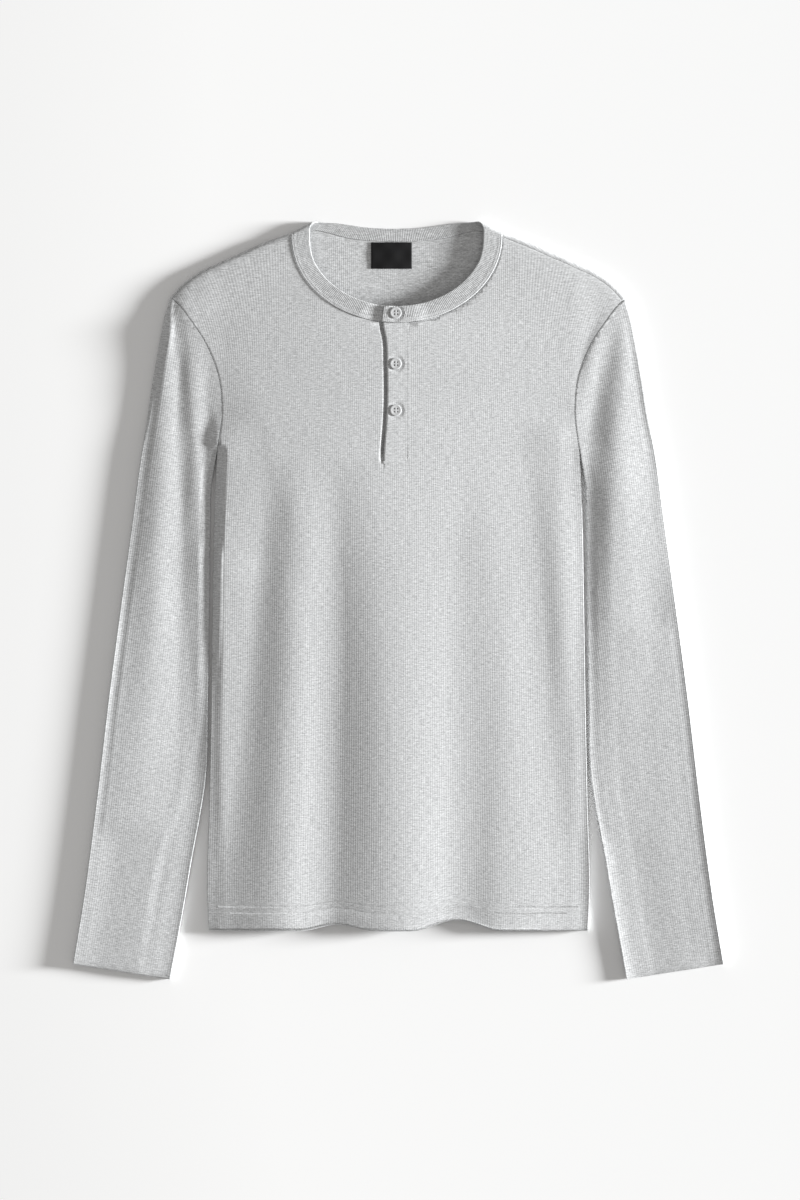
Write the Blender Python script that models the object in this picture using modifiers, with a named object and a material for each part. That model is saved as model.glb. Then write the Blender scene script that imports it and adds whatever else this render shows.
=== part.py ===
"""Henley shirt in fine rib knit: long sleeves, a round neckband and a three-button placket, laid out on its back.

The shirt lies on the plane z = 0 with its front up. X runs across it, to the viewer's right, Y runs from the hem to
the neck, and Z points up from the surface it lies on. Every length is in metres.

The cloth is one skin in two layers, which meet in a rounded fold at the outline: `skin` gives points of its outer face
and the directions out of it, for a place in plan and a layer. Each panel is a loft over that skin, between the
seams that bound it, with a wall of the cloth's thickness under it. Both sides of a seam come from the same curve.
"""

import math
from collections import namedtuple

import bpy
import numpy as np

# The cloth
WALL = 0.0012  # one layer of rib knit
BAND_WALL = 0.0022  # the neckband and the placket strips are folded double
SEAM_GAP = 0.0003  # between two pieces at a seam
LIFT_GAP = 0.0003  # between a piece and what it lies on

# How the cloth lies
EDGE_HEIGHT = 0.0038  # the middle of the rounded fold at the outline
EDGE_REACH = 0.042  # how far inside the outline the upper layer has risen to its loft
FOLD_FADE = 0.016  # how far inside the outline a fold has its full height

# The body
HEM_Y = -0.3295
HEM_HALF = 0.1895
HEM_DEPTH = 0.022  # the turned-up hem is double
BACK_HEM_RISE = 0.0135  # the back's hem stops short of the front's in the middle
UNDERARM = (0.1815, 0.146)
SHOULDER_TIP = 0.228  # half the width between the shoulder tips
SEAM_FORWARD = 0.00435  # the shoulder seam lies this far forward of the fold
WRAP = 0.012  # the back's strip that wraps over the shoulder starts this far behind it

# The neck
NECK_LEAN = -0.002  # the neckline sits a little to the wearer's right
NECK_HALF = 0.1055
NECK_FRONT_DROP = 0.0865
BAND_INNER_HALF = 0.0885
BAND_INNER_Y = 0.3655
BAND_INNER_DROP = 0.0715
BAND_RAISE = 0.0006  # the doubled band stands this far above the front,
BAND_CROWN = 0.25  # and this share more along its middle
NECK_STEPS = 18

# The sleeves
CUFF_INNER = (0.2280, -0.3785)
CUFF_OUTER = (0.3257, -0.3630)

# The placket. Its open edge is given further down.
PLACKET_RIGHT = 0.0092
PLACKET_END_Y = 0.1380
PLACKET_ROWS = 16
UNDERLAP = 0.0010  # the under strip reaches this far past the open edge
LAP_RAMP = 0.018  # the band's ends step over and under each other in this length,
LAP_CLEAR = 0.006  # and have done so this far before they meet

# The buttons and the neck label
BUTTON_RADIUS = 0.0057
BUTTON_HEIGHT = 0.0024
BUTTON_RIM = 0.0013
BUTTON_DISH = 0.0006
BUTTON_HOLE_RADIUS = 0.00065
BUTTON_HOLE_OFFSET = 0.00115
BUTTON_SIDES = 20
BUTTON_X = -0.0025
BUTTON_YS = (0.2868, 0.2365, 0.1900)
LABEL_SIZE = (0.041, 0.0265)
LABEL_CENTRE = (-0.0068, 0.3455)
LABEL_WALL = 0.001

# Outlines, from the bottom up: the half-width of the body, and of both edges of a sleeve
Edge = namedtuple("Edge", "y half")
BODY_SIDE = [
    Edge(HEM_Y, HEM_HALF),
    Edge(-0.300, 0.1910),
    Edge(-0.200, 0.1890),
    Edge(-0.100, 0.1870),
    Edge(0.000, 0.1855),
    Edge(0.100, 0.1835),
    Edge(UNDERARM[1], UNDERARM[0]),
]
SLEEVE_INNER = [
    Edge(CUFF_INNER[1], CUFF_INNER[0]),
    Edge(-0.300, 0.2135),
    Edge(-0.250, 0.2050),
    Edge(-0.219, 0.1990),
    Edge(-0.180, 0.1935),
    Edge(-0.100, 0.1905),
    Edge(0.000, 0.1890),
    Edge(0.080, 0.1875),
    Edge(0.120, 0.1860),
    Edge(UNDERARM[1], UNDERARM[0]),
]
SLEEVE_OUTER = [
    Edge(CUFF_OUTER[1], CUFF_OUTER[0]),
    Edge(-0.299, 0.3152),
    Edge(-0.199, 0.3020),
    Edge(-0.099, 0.2902),
    Edge(0.001, 0.2770),
    Edge(0.081, 0.2660),
    Edge(0.141, 0.2580),
    Edge(0.181, 0.2515),
    Edge(0.221, 0.2455),
    Edge(0.261, 0.2385),
    Edge(0.285, 0.2335),
    Edge(0.3035, SHOULDER_TIP),
]
# The armhole seam in plan, from the underarm to the shoulder tip
Seam = namedtuple("Seam", "half y")
ARMHOLE = [
    Seam(*UNDERARM),
    Seam(0.1786, 0.1640),
    Seam(0.1763, 0.1840),
    Seam(0.1766, 0.2030),
    Seam(0.1793, 0.2234),
    Seam(0.1860, 0.2436),
    Seam(0.1946, 0.2615),
    Seam(0.2055, 0.2775),
    Seam(0.2191, 0.2954),
    Seam(SHOULDER_TIP, 0.3035),
]
# The upper edge of the fold over the shoulders, carried on across the neck
Crest = namedtuple("Crest", "half y")
TOP_FOLD = [
    Crest(0.000, 0.3815),
    Crest(0.040, 0.3815),
    Crest(0.066, 0.3814),
    Crest(0.082, 0.3794),
    Crest(0.104, 0.3690),
    Crest(0.136, 0.3572),
    Crest(0.152, 0.3500),
    Crest(0.180, 0.3375),
    Crest(0.204, 0.3255),
    Crest(0.218, 0.3145),
    Crest(SHOULDER_TIP, 0.3035),
]
# The loft of the upper layer over the surface, down the body and down a sleeve
Loft = namedtuple("Loft", "y body sleeve")
LOFTS = [
    Loft(-0.380, 0.0112, 0.0110),
    Loft(-0.200, 0.0112, 0.0112),
    Loft(0.000, 0.0115, 0.0132),
    Loft(0.150, 0.0125, 0.0155),
    Loft(0.300, 0.0135, 0.0150),
    Loft(0.385, 0.0130, 0.0140),
]
# The largest folds. Each runs through three places, from the top down, with its reach to the left and right of its
# crest and its rise above the loft at those places.
Fold = namedtuple("Fold", "name xs ys left right rise")
FOLDS = [
    Fold("body_left", (-0.100, -0.107, -0.118), (0.135, -0.110, -0.330),
         (0.036, 0.046, 0.068), (0.034, 0.042, 0.046), (0.0, 0.0085, 0.0085)),
    Fold("body_middle", (-0.026, -0.008, -0.008), (0.135, -0.110, -0.330),
         (0.038, 0.060, 0.060), (0.090, 0.088, 0.072), (0.0, 0.0080, 0.0090)),
    Fold("body_right", (0.098, 0.094, 0.104), (0.060, -0.110, -0.330),
         (0.016, 0.020, 0.044), (0.050, 0.060, 0.070), (0.0, 0.0022, 0.0062)),
    Fold("left_edge", (-0.160, -0.165, -0.170), (0.140, 0.010, -0.180),
         (0.018, 0.018, 0.016), (0.020, 0.022, 0.020), (0.0, 0.0030, 0.0)),
    Fold("right_edge", (0.144, 0.161, 0.170), (0.160, 0.010, -0.120),
         (0.020, 0.018, 0.016), (0.030, 0.024, 0.020), (0.0, 0.0030, 0.0)),
    Fold("left_sleeve_outer", (-0.226, -0.240, -0.250), (0.285, 0.150, -0.150),
         (0.016, 0.026, 0.040), (0.013, 0.021, 0.036), (0.0030, 0.0090, 0.0)),
    Fold("left_sleeve_inner", (-0.2065, -0.2075, -0.2090), (0.275, 0.170, 0.060),
         (0.012, 0.013, 0.016), (0.014, 0.018, 0.018), (0.0020, 0.0065, 0.0)),
    Fold("right_sleeve", (0.221, 0.222, 0.232), (0.285, 0.120, -0.150),
         (0.014, 0.026, 0.034), (0.018, 0.030, 0.044), (0.0015, 0.0085, 0.0)),
]
# The placket's open edge, from the bottom up
Slit = namedtuple("Slit", "y x")
SLIT = [
    Slit(0.1380, -0.0148),
    Slit(0.1510, -0.0143),
    Slit(0.1710, -0.0126),
    Slit(0.1910, -0.0115),
    Slit(0.2360, -0.0115),
    Slit(0.2600, -0.0124),
    Slit(0.2740, -0.0152),
    Slit(0.2900, -0.0166),
]
# Where the front's hem is drawn up between two folds
Dip = namedtuple("Dip", "x reach rise")
HEM_DIPS = [Dip(-0.060, 0.038, 0.0062), Dip(0.058, 0.046, 0.0105)]

# Shared steps. ARM_STEPS run along the armhole from the underarm, as shares of its length. SIDE_STEPS run up a body
# panel's side from the hem, and EDGE_STEPS in from its side.
ARM_STEPS = (0.0, 0.012, 0.045, 0.110, 0.190, 0.280, 0.375, 0.470, 0.565, 0.660, 0.755, 0.845)
SIDE_STEPS = (0.0, 0.0215, 0.0225, 0.055, 0.095, 0.140, 0.190, 0.240, 0.290, 0.335, 0.378, 0.415, 0.445, 0.465)
EDGE_STEPS = (0.0, 0.0008, 0.0032, 0.0090, 0.0180, 0.0300)
SHOULDER_COLUMNS = 3
CORNER_SHARE = 0.61  # of the hem's half-width, below the corner of the neckline
UNDERARM_STEPS = (0.0008, 0.0032, 0.0050)  # a sleeve's columns in from its inner edge
UNDERARM_SPACE = 0.0145  # its columns start this far from its inner edge at the armhole, times the root of the share
UNDERARM_SPREAD = 0.11  # of this first part of its length
SLEEVE_STEPS = (0.0, 0.012, 0.035, 0.070, 0.110, 0.165, 0.225, 0.290, 0.360, 0.435, 0.515, 0.600, 0.690, 0.780, 0.870,
                0.935, 0.968, 0.970, 1.0)


def clear_scene():
    for obj in list(bpy.data.objects):
        bpy.data.objects.remove(obj)


def new_collection(name):
    collection = bpy.data.collections.new(name)
    bpy.context.scene.collection.children.link(collection)
    return collection


def new_material(name, colour, roughness):
    material = bpy.data.materials.new(name)
    material.use_nodes = True
    shader = material.node_tree.nodes["Principled BSDF"]
    shader.inputs["Base Color"].default_value = (*colour, 1.0)
    shader.inputs["Roughness"].default_value = roughness
    shader.inputs["Metallic"].default_value = 0.0
    material.diffuse_color = (*colour, 1.0)
    return material


# Curves


def smooth(value):
    """0 below 0, 1 above 1, and a soft step between them."""
    value = np.clip(value, 0.0, 1.0)
    return value * value * (3.0 - 2.0 * value)


def curve_through(xs, ys):
    """A function whose smooth curve passes through the points, and which stays level beyond them."""
    xs = np.asarray(xs, float)
    ys = np.asarray(ys, float)
    slopes = np.gradient(ys, xs)

    def value(x):
        x = np.clip(x, xs[0], xs[-1])
        i = np.clip(np.searchsorted(xs, x) - 1, 0, len(xs) - 2)
        step = xs[i + 1] - xs[i]
        t = (x - xs[i]) / step
        ease = t * t * (3.0 - 2.0 * t)
        start = t * (1.0 - t) ** 2 * step * slopes[i]
        end = t * t * (t - 1.0) * step * slopes[i + 1]
        return ys[i] * (1.0 - ease) + ys[i + 1] * ease + start + end

    return value


def table_curve(rows, key, value):
    return curve_through([getattr(row, key) for row in rows], [getattr(row, value) for row in rows])


body_half = table_curve(BODY_SIDE, "y", "half")
sleeve_inner_half = table_curve(SLEEVE_INNER, "y", "half")
sleeve_outer_half = table_curve(SLEEVE_OUTER, "y", "half")
top_fold_y = table_curve(TOP_FOLD, "half", "y")
body_loft = table_curve(LOFTS, "y", "body")
sleeve_loft = table_curve(LOFTS, "y", "sleeve")
slit_x = table_curve(SLIT, "y", "x")


def plan_curve(points):
    """A smooth curve through points in plan, by its length: (the function, the whole length)."""
    points = np.asarray(points, float)
    along = np.concatenate([[0.0], np.cumsum(np.linalg.norm(np.diff(points, axis=0), axis=1))])
    across = curve_through(along, points[:, 0])
    up = curve_through(along, points[:, 1])
    return (lambda s: np.stack([across(s), up(s)], axis=-1)), along[-1]


armhole_at, ARMHOLE_LENGTH = plan_curve(ARMHOLE)


def lean(q):
    """How far the neck's lean moves a place on the top fold sideways."""
    return NECK_LEAN * (1.0 - np.minimum(np.abs(q) / SHOULDER_TIP, 1.0) ** 2)


def fold_place(q):
    """The place on the top fold for the place q across it, and the direction in plan into the shirt from there."""
    q = np.asarray(q, float)
    tiny = 0.0005
    low = np.clip(q - tiny, -SHOULDER_TIP, SHOULDER_TIP)
    high = np.clip(q + tiny, -SHOULDER_TIP, SHOULDER_TIP)
    place = np.stack([q + lean(q), top_fold_y(np.abs(q))], axis=-1)
    slope = (top_fold_y(np.abs(high)) - top_fold_y(np.abs(low))) / (high - low)
    inward = np.stack([slope, -np.ones_like(slope)], axis=-1)
    return place, inward / np.linalg.norm(inward, axis=-1, keepdims=True)


def from_fold(q, wrap):
    """The place in plan that lies |wrap| inside the top fold at q."""
    place, inward = fold_place(q)
    return place + inward * np.abs(np.asarray(wrap, float))[..., None]


# The skin


def outline_lines():
    """The rounded outline as polylines in plan, with the shirt on the left of each."""
    step = 0.006
    body_y = np.arange(HEM_Y - 0.03, UNDERARM[1], step)
    inner_y = np.arange(CUFF_INNER[1] - 0.03, UNDERARM[1], step)
    outer_y = np.arange(CUFF_OUTER[1] - 0.03, TOP_FOLD[-1].y, step)
    top_q = np.linspace(-SHOULDER_TIP, SHOULDER_TIP, 90)
    body = np.append(np.stack([body_half(body_y), body_y], 1), [UNDERARM], axis=0)
    inner = np.append(np.stack([sleeve_inner_half(inner_y), inner_y], 1), [UNDERARM], axis=0)
    outer = np.append(np.stack([sleeve_outer_half(outer_y), outer_y], 1), [[SHOULDER_TIP, TOP_FOLD[-1].y]], axis=0)
    mirror = np.array([-1.0, 1.0])
    return [body, inner[::-1], outer, fold_place(top_q)[0][::-1],
            body[::-1] * mirror, inner * mirror, outer[::-1] * mirror]


def outline_segments():
    lines = outline_lines()
    starts = np.concatenate([line[:-1] for line in lines])
    ends = np.concatenate([line[1:] for line in lines])
    return starts, ends - starts


STARTS, SPANS = outline_segments()
SPAN_SQUARES = (SPANS**2).sum(1)
SPAN_INWARDS = np.stack([-SPANS[:, 1], SPANS[:, 0]], 1) / np.sqrt(SPAN_SQUARES)[:, None]


def outline_distance(places):
    """How far each place in plan is inside the outline, and the direction there that leads away from the outline."""
    gaps = places[:, None, :] - STARTS
    share = np.clip((gaps * SPANS).sum(2) / SPAN_SQUARES, 0.0, 1.0)
    gaps = gaps - share[..., None] * SPANS
    squares = (gaps**2).sum(2)
    nearest = squares.argmin(1)
    rows = np.arange(len(places))
    distance = np.sqrt(squares[rows, nearest])
    away = gaps[rows, nearest]
    on_line = distance < 2e-5
    away = np.where(on_line[:, None], SPAN_INWARDS[nearest], away / np.maximum(distance, 1e-9)[:, None])
    return np.where(on_line, 0.0, distance), away


def fold_rise(fold, x, y):
    """How far one fold lifts the upper layer."""
    down = -np.asarray(fold.ys)
    crest = curve_through(down, fold.xs)(-y)
    left = np.interp(-y, down, fold.left)
    right = np.interp(-y, down, fold.right)
    rise = np.maximum(curve_through(down, fold.rise)(-y), 0.0)
    reach = np.where(x < crest, left, right)
    share = np.clip(np.abs(x - crest) / reach, 0.0, 1.0)
    end = smooth((fold.ys[0] + 0.03 - y) / 0.03)
    return rise * end * np.cos(0.5 * math.pi * share) ** 2


def loft_height(x, y):
    """The height of the upper layer away from the outline, over the surface the shirt lies on."""
    to_sleeve = smooth((np.abs(x) - 0.165) / 0.035)
    return body_loft(y) * (1.0 - to_sleeve) + sleeve_loft(y) * to_sleeve


def folds_height(x, y):
    return sum(fold_rise(fold, x, y) for fold in FOLDS)


def crown_height(places, distance):
    """What the upper layer rises above the rounded fold at its edge: the loft and the folds."""
    x, y = places.T
    share = np.minimum(distance / EDGE_REACH, 1.0)
    loft = (loft_height(x, y) - 2.0 * EDGE_HEIGHT) * share * (2.0 - share)
    return loft + folds_height(x, y) * smooth(distance / FOLD_FADE)


def skin(places, layer, inside=None):
    """The outer face of the cloth over a grid of places in plan, on the upper layer (1) or the lower (-1): points and
    normals. inside gives the distance from the outline and its direction where they are known."""
    shape = places.shape[:-1]
    places = places.reshape(-1, 2)
    upper = (np.broadcast_to(layer, shape) > 0).reshape(-1)
    distance, away = outline_distance(places)
    if inside is not None:
        known = ~np.isnan(inside[0].reshape(-1))
        distance[known] = inside[0].reshape(-1)[known]
        away[known] = inside[1].reshape(-1, 2)[known]
    turn = np.arccos(1.0 - np.minimum(distance / EDGE_HEIGHT, 1.0))
    sign = np.where(upper, 1.0, -1.0)
    crown = np.where(upper, crown_height(places, distance), 0.0)
    height = EDGE_HEIGHT * (1.0 + sign * np.sin(turn)) + crown
    normal = np.column_stack([-away * np.cos(turn)[:, None], sign * np.sin(turn)])
    for axis in (0, 1):
        step = np.zeros(2)
        step[axis] = 0.0004
        ahead, behind = (crown_height(spot, outline_distance(spot)[0]) for spot in (places + step, places - step))
        normal[:, axis] -= np.where(upper, (ahead - behind) / 0.0008 * np.sin(turn), 0.0)
    normal /= np.linalg.norm(normal, axis=1, keepdims=True)
    return np.column_stack([places, height]).reshape(*shape, 3), normal.reshape(*shape, 3)


def fold_skin(q, wrap):
    """What skin needs for places given by where they are on the top fold and how far round it: above 0 is in front."""
    place, inward = fold_place(q)
    distance = np.abs(wrap)
    return place + inward * distance[..., None], np.where(wrap > 0, 1.0, -1.0), (distance, inward)


def patch(start, end, left, right, across, share):
    """A grid in plan that four edges bound. across places its columns, and share says how much each row follows the
    shape of the end edge rather than that of the start edge, in x and in y."""
    across = np.asarray(across, float)[None, :, None]
    share = np.stack(share, axis=1)[:, None]
    rows = (1.0 - share) * start[None] + share * end[None]
    to_left = left[:, None] - (1.0 - share) * start[0] - share * end[0]
    to_right = right[:, None] - (1.0 - share) * start[-1] - share * end[-1]
    return rows + (1.0 - across) * to_left + across * to_right


# Solids


def mesh_object(name, vertices, faces, collection, material):
    mesh = bpy.data.meshes.new(name)
    mesh.from_pydata([tuple(v) for v in vertices], [], faces)
    mesh.validate()
    mesh.materials.append(material)
    mesh.shade_smooth()
    mesh.set_sharp_from_angle(angle=math.radians(50))
    obj = bpy.data.objects.new(name, mesh)
    collection.objects.link(obj)
    return obj


def wall(name, grids, collection, material):
    """A closed wall. Each grid is a grid of outer points and one of the ways in from them, and grids join where they
    share points."""
    index = {}
    outer = []
    inner = []
    faces = []
    for points, ways_in in grids:
        ids = np.empty(points.shape[:2], int)
        for row, column in np.ndindex(ids.shape):
            point = points[row, column]
            key = tuple(np.round(point * 1e7).astype(int))
            if key not in index:
                index[key] = len(outer)
                outer.append(point)
                inner.append(point + ways_in[row, column])
            ids[row, column] = index[key]
        corners = np.stack([ids[:-1, :-1], ids[:-1, 1:], ids[1:, 1:], ids[1:, :-1]], axis=-1)
        faces.extend(corners.reshape(-1, 4).tolist())
    count = len(outer)
    edges = {(face[i], face[(i + 1) % 4]) for face in faces for i in range(4)}
    sides = [(b, a, a + count, b + count) for a, b in sorted(edges) if (b, a) not in edges]
    backs = [[corner + count for corner in reversed(face)] for face in faces]
    return mesh_object(name, outer + inner, faces + backs + sides, collection, material)


def cut_with(obj, cutter, operation="DIFFERENCE"):
    modifier = obj.modifiers.new(cutter.name, "BOOLEAN")
    modifier.operation = operation
    modifier.object = cutter
    cutter.hide_render = True
    cutter.display_type = "WIRE"


# Seams that two pieces share


def arm_rows():
    """Where the rows of a body panel meet the armhole seam, from just over the underarm, by length along it."""
    return np.array(ARM_STEPS[1:]) * ARMHOLE_LENGTH


def armhole_places(side, lengths, off):
    """Places on one armhole seam, moved off it by off, towards the sleeve. side is -1 for the viewer's left."""
    tiny = 0.0005
    lengths = np.asarray(lengths, float)
    along = armhole_at(np.minimum(lengths + tiny, ARMHOLE_LENGTH)) - armhole_at(np.maximum(lengths - tiny, 0.0))
    along /= np.linalg.norm(along, axis=1, keepdims=True)
    places = armhole_at(lengths) + off * np.stack([along[:, 1], -along[:, 0]], axis=1)
    return places * np.array([side, 1.0])


def neck_front(angles, off, half=NECK_HALF, middle=None, drop=NECK_FRONT_DROP):
    """Places on the front neckline. Angle 0 is at the viewer's right shoulder, and off moves out of the neck hole."""
    middle = from_fold(neck_q(), SEAM_FORWARD)[1] if middle is None else middle
    flat = (half + off) * np.cos(angles)
    return np.stack([flat + lean(flat), middle - (drop + off) * np.sin(angles)], axis=-1)


def neck_q():
    """The place on the top fold from which the shoulder seam meets the neckline."""
    guess = NECK_HALF
    for _ in range(8):
        guess += NECK_HALF - (from_fold(guess, SEAM_FORWARD)[0] - lean(guess))
    return guess


# The back neckline and the band's upper edge, from the shoulder seam round the fold to the middle: the place across
# the fold, and the wrap, which is above 0 on the front and below 0 behind the fold
Round = namedtuple("Round", "share q wrap")
FOLD_ROWS = (-0.0045, -0.0010, 0.0, 0.0010)  # the rows that wrap over the shoulder, up to the shoulder seam
BACK_NECKLINE = [
    Round(0.000, neck_q(), SEAM_FORWARD),
    Round(0.034, neck_q() - 0.0008, FOLD_ROWS[3]),
    Round(0.044, neck_q() - 0.0011, FOLD_ROWS[2]),
    Round(0.054, neck_q() - 0.0014, FOLD_ROWS[1]),
    Round(0.090, neck_q() - 0.0030, FOLD_ROWS[0]),
    Round(0.170, neck_q() - 0.0110, -0.0068),
    Round(0.300, 0.0830, -0.0092),
    Round(0.500, 0.0560, -0.0172),
    Round(0.740, 0.0285, -0.0211),
    Round(1.000, 0.0000, -0.0223),
]
BAND_TOP = [
    Round(0.000, 0.0915, 0.0088),
    Round(0.034, 0.0900, 0.0062),
    Round(0.044, 0.0893, 0.0050),
    Round(0.054, 0.0885, 0.0036),
    Round(0.090, 0.0872, 0.0009),
    Round(0.170, 0.0845, -0.0008),
    Round(0.300, 0.0755, -0.0022),
    Round(0.500, 0.0505, -0.0052),
    Round(0.740, 0.0255, -0.0082),
    Round(1.000, 0.0000, -0.0092),
]


def round_curve(rows, off=0.0):
    """(q, wrap) along a curve round the back of the neck, from the right shoulder to the left, moved by off away from
    the neck hole."""
    keys = [row.share for row in rows]
    q = curve_through(keys, [row.q for row in rows])
    wrap = curve_through(keys, [row.wrap for row in rows])
    shares = np.array(keys)
    before, after = np.clip(shares - 0.002, 0.0, 1.0), np.clip(shares + 0.002, 0.0, 1.0)
    along = np.stack([q(after) - q(before), wrap(after) - wrap(before)], axis=1)
    along /= np.linalg.norm(along, axis=1, keepdims=True)
    half_q, half_wrap = q(shares) - off * along[:, 1], wrap(shares) + off * along[:, 0]
    half_q[-1] = 0.0
    return np.append(half_q, -half_q[-2::-1]), np.append(half_wrap, half_wrap[-2::-1])


def hem_front(x):
    rise = sum(dip.rise * np.cos(0.5 * math.pi * np.clip(np.abs(x - dip.x) / dip.reach, 0.0, 1.0)) ** 2
               for dip in HEM_DIPS)
    return HEM_Y + rise


def hem_back(x):
    return HEM_Y + BACK_HEM_RISE * (1.0 - np.minimum(np.abs(x) / HEM_HALF, 1.0) ** 6)


def panel_edges(*from_tip):
    """The left and right edges of a body panel, up the side and the armhole, and the share of each row in its
    height. from_tip places its last rows by their distance from the tip."""
    ys = np.append(HEM_Y + np.array(SIDE_STEPS), UNDERARM[1])
    lengths = np.append(arm_rows(), ARMHOLE_LENGTH - np.array(from_tip))
    edges = []
    for side in (-1, 1):
        body = np.stack([side * body_half(ys), ys], axis=1)
        body[-1, 0] -= side * SEAM_GAP / 2
        edges.append(np.concatenate([body, armhole_places(side, lengths, -SEAM_GAP / 2)]))
    up = (edges[0][:, 1] - HEM_Y) / (edges[0][-1, 1] - HEM_Y)
    return edges[0], edges[1], up


def spread(top, corner):
    """The places of a body panel's columns along the hem: as far in from the sides as above, and wider apart below the
    neck. corner is the column where the neckline begins."""
    x = top[: len(top) // 2 + 1, 0]
    count = len(EDGE_STEPS)
    half = np.zeros(len(x))
    half[:count] = np.array(EDGE_STEPS) - HEM_HALF
    half[count - 1 : corner + 1] = np.interp(x[count - 1 : corner + 1], x[[count - 1, corner]],
                                             (half[count - 1], -CORNER_SHARE * HEM_HALF))
    straight = 1.0 - (x[corner:] - x[corner]) / (x[-1] - x[corner])
    half[corner:] = -CORNER_SHARE * HEM_HALF * 0.5 * (straight + np.linspace(1.0, 0.0, len(straight)))
    return np.append(half, -half[-2::-1])


def roll_side(points, normals, lift):
    """Sets the edge columns of a body panel on the middle of the fold, up to the underarm."""
    last = len(SIDE_STEPS)
    for column, side in ((0, -1.0), (-1, 1.0)):
        points[: last + 1, column, 2] = EDGE_HEIGHT + lift
        normals[:last, column] = (side, 0.0, 0.0)
        normals[last, column] = (0.0, -1.0, 0.0)


def panel_walls(up, height, columns):
    """The wall's thickness row by row: double over the hem."""
    thickness = np.where(up * height <= HEM_DEPTH, 2.0 * WALL, WALL)
    return np.broadcast_to(thickness[:, None, None], (len(thickness), columns, 1))


# Panels


TIP_SPREAD = 1.15  # the columns beside the shoulder tip are this much wider than those on the rounded fold


def shoulder_qs():
    """The columns of a body panel along one shoulder, from the tip to the neckline, as places on the top fold."""
    near_tip = SHOULDER_TIP - np.array(EDGE_STEPS) * TIP_SPREAD
    return np.append(near_tip, np.linspace(near_tip[-1], neck_q(), SHOULDER_COLUMNS + 1)[1:])


def build_front(collection, material):
    seam = SEAM_FORWARD + SEAM_GAP / 2
    shoulder = shoulder_qs()
    left_edge, right_edge, up = panel_edges(WRAP, seam)
    angles = np.linspace(math.pi, 0.0, NECK_STEPS + 1)
    left = from_fold(-shoulder, seam)
    right = from_fold(shoulder[::-1], seam)
    neck = neck_front(angles, SEAM_GAP / 2)
    neck[0] = left[-1] + neck[0] - neck_front(angles[:1], 0.0)[0]
    neck[-1] = right[0] + neck[-1] - neck_front(angles[-1:], 0.0)[0]
    left[0], right[-1] = left_edge[-1], right_edge[-1]
    top = np.concatenate([left[:-1], neck, right[1:]])
    bottom_x = spread(top, len(left) - 1)
    bottom = np.stack([bottom_x, hem_front(bottom_x)], axis=1)
    across = (bottom_x + HEM_HALF) / (2.0 * HEM_HALF)
    plan = patch(bottom, top, left_edge, right_edge, across, (up**16, up**2))
    points, normals = skin(plan, 1.0)
    roll_side(points, normals, SEAM_GAP / 2)
    walls = panel_walls(up, left_edge[-1, 1] - HEM_Y, plan.shape[1])
    return wall("front", [(points, -normals * walls)], collection, material)


def build_back(collection, material):
    """The back lies under the front, and a strip of it wraps over each shoulder to the shoulder seam."""
    shoulder = shoulder_qs()[:-1]
    first = len(FOLD_ROWS)
    neck_qs, neck_wraps = round_curve(BACK_NECKLINE, SEAM_GAP / 2)
    q = np.concatenate([-shoulder, -neck_qs[first:-first], shoulder[::-1]])
    wraps = np.concatenate([np.full(len(shoulder), FOLD_ROWS[0]), neck_wraps[first:-first],
                            np.full(len(shoulder), FOLD_ROWS[0])])
    left_edge, right_edge, up = panel_edges(WRAP, -FOLD_ROWS[0])
    top, _, inside = fold_skin(q, wraps)
    top[0], top[-1] = left_edge[-1], right_edge[-1]
    bottom_x = spread(top, len(shoulder))
    bottom = np.stack([bottom_x, hem_back(bottom_x)], axis=1)
    across = (bottom_x + HEM_HALF) / (2.0 * HEM_HALF)
    plan = patch(bottom, top, left_edge, right_edge, across, (up**16, up**2))
    points, normals = skin(plan, -1.0)
    roll_side(points, normals, -SEAM_GAP / 2)
    walls = panel_walls(up, left_edge[-1, 1] - HEM_Y, plan.shape[1])
    grids = [(points[:, ::-1], (-normals * walls)[:, ::-1])]
    seam = SEAM_FORWARD - SEAM_GAP / 2
    rows = np.array([*FOLD_ROWS, seam])
    for side in (-1, 1):
        ends = neck_qs[first::-1]
        strip_q = side * np.column_stack([np.broadcast_to(shoulder, (len(rows), len(shoulder))), ends])
        strip_wraps = np.broadcast_to(rows[:, None], strip_q.shape).copy()
        strip_wraps[:, -1] = neck_wraps[first::-1]
        strip_wraps[-1, -1] = seam
        places, layers, inside = fold_skin(strip_q, strip_wraps)
        places[:, 0] = armhole_places(side, ARMHOLE_LENGTH - np.abs(rows), -SEAM_GAP / 2)
        inside[0][[0, 1, 3, 4], 0] = np.nan
        strip_points, strip_normals = skin(places, layers, inside)
        joined = np.arange(len(shoulder) + 1)
        strip_points[0] = points[-1, joined if side < 0 else -1 - joined]
        if side < 0:
            strip_points, strip_normals = strip_points[:, ::-1], strip_normals[:, ::-1]
        grids.append((strip_points, -strip_normals * WALL))
    return wall("back", grids, collection, material)


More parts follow.
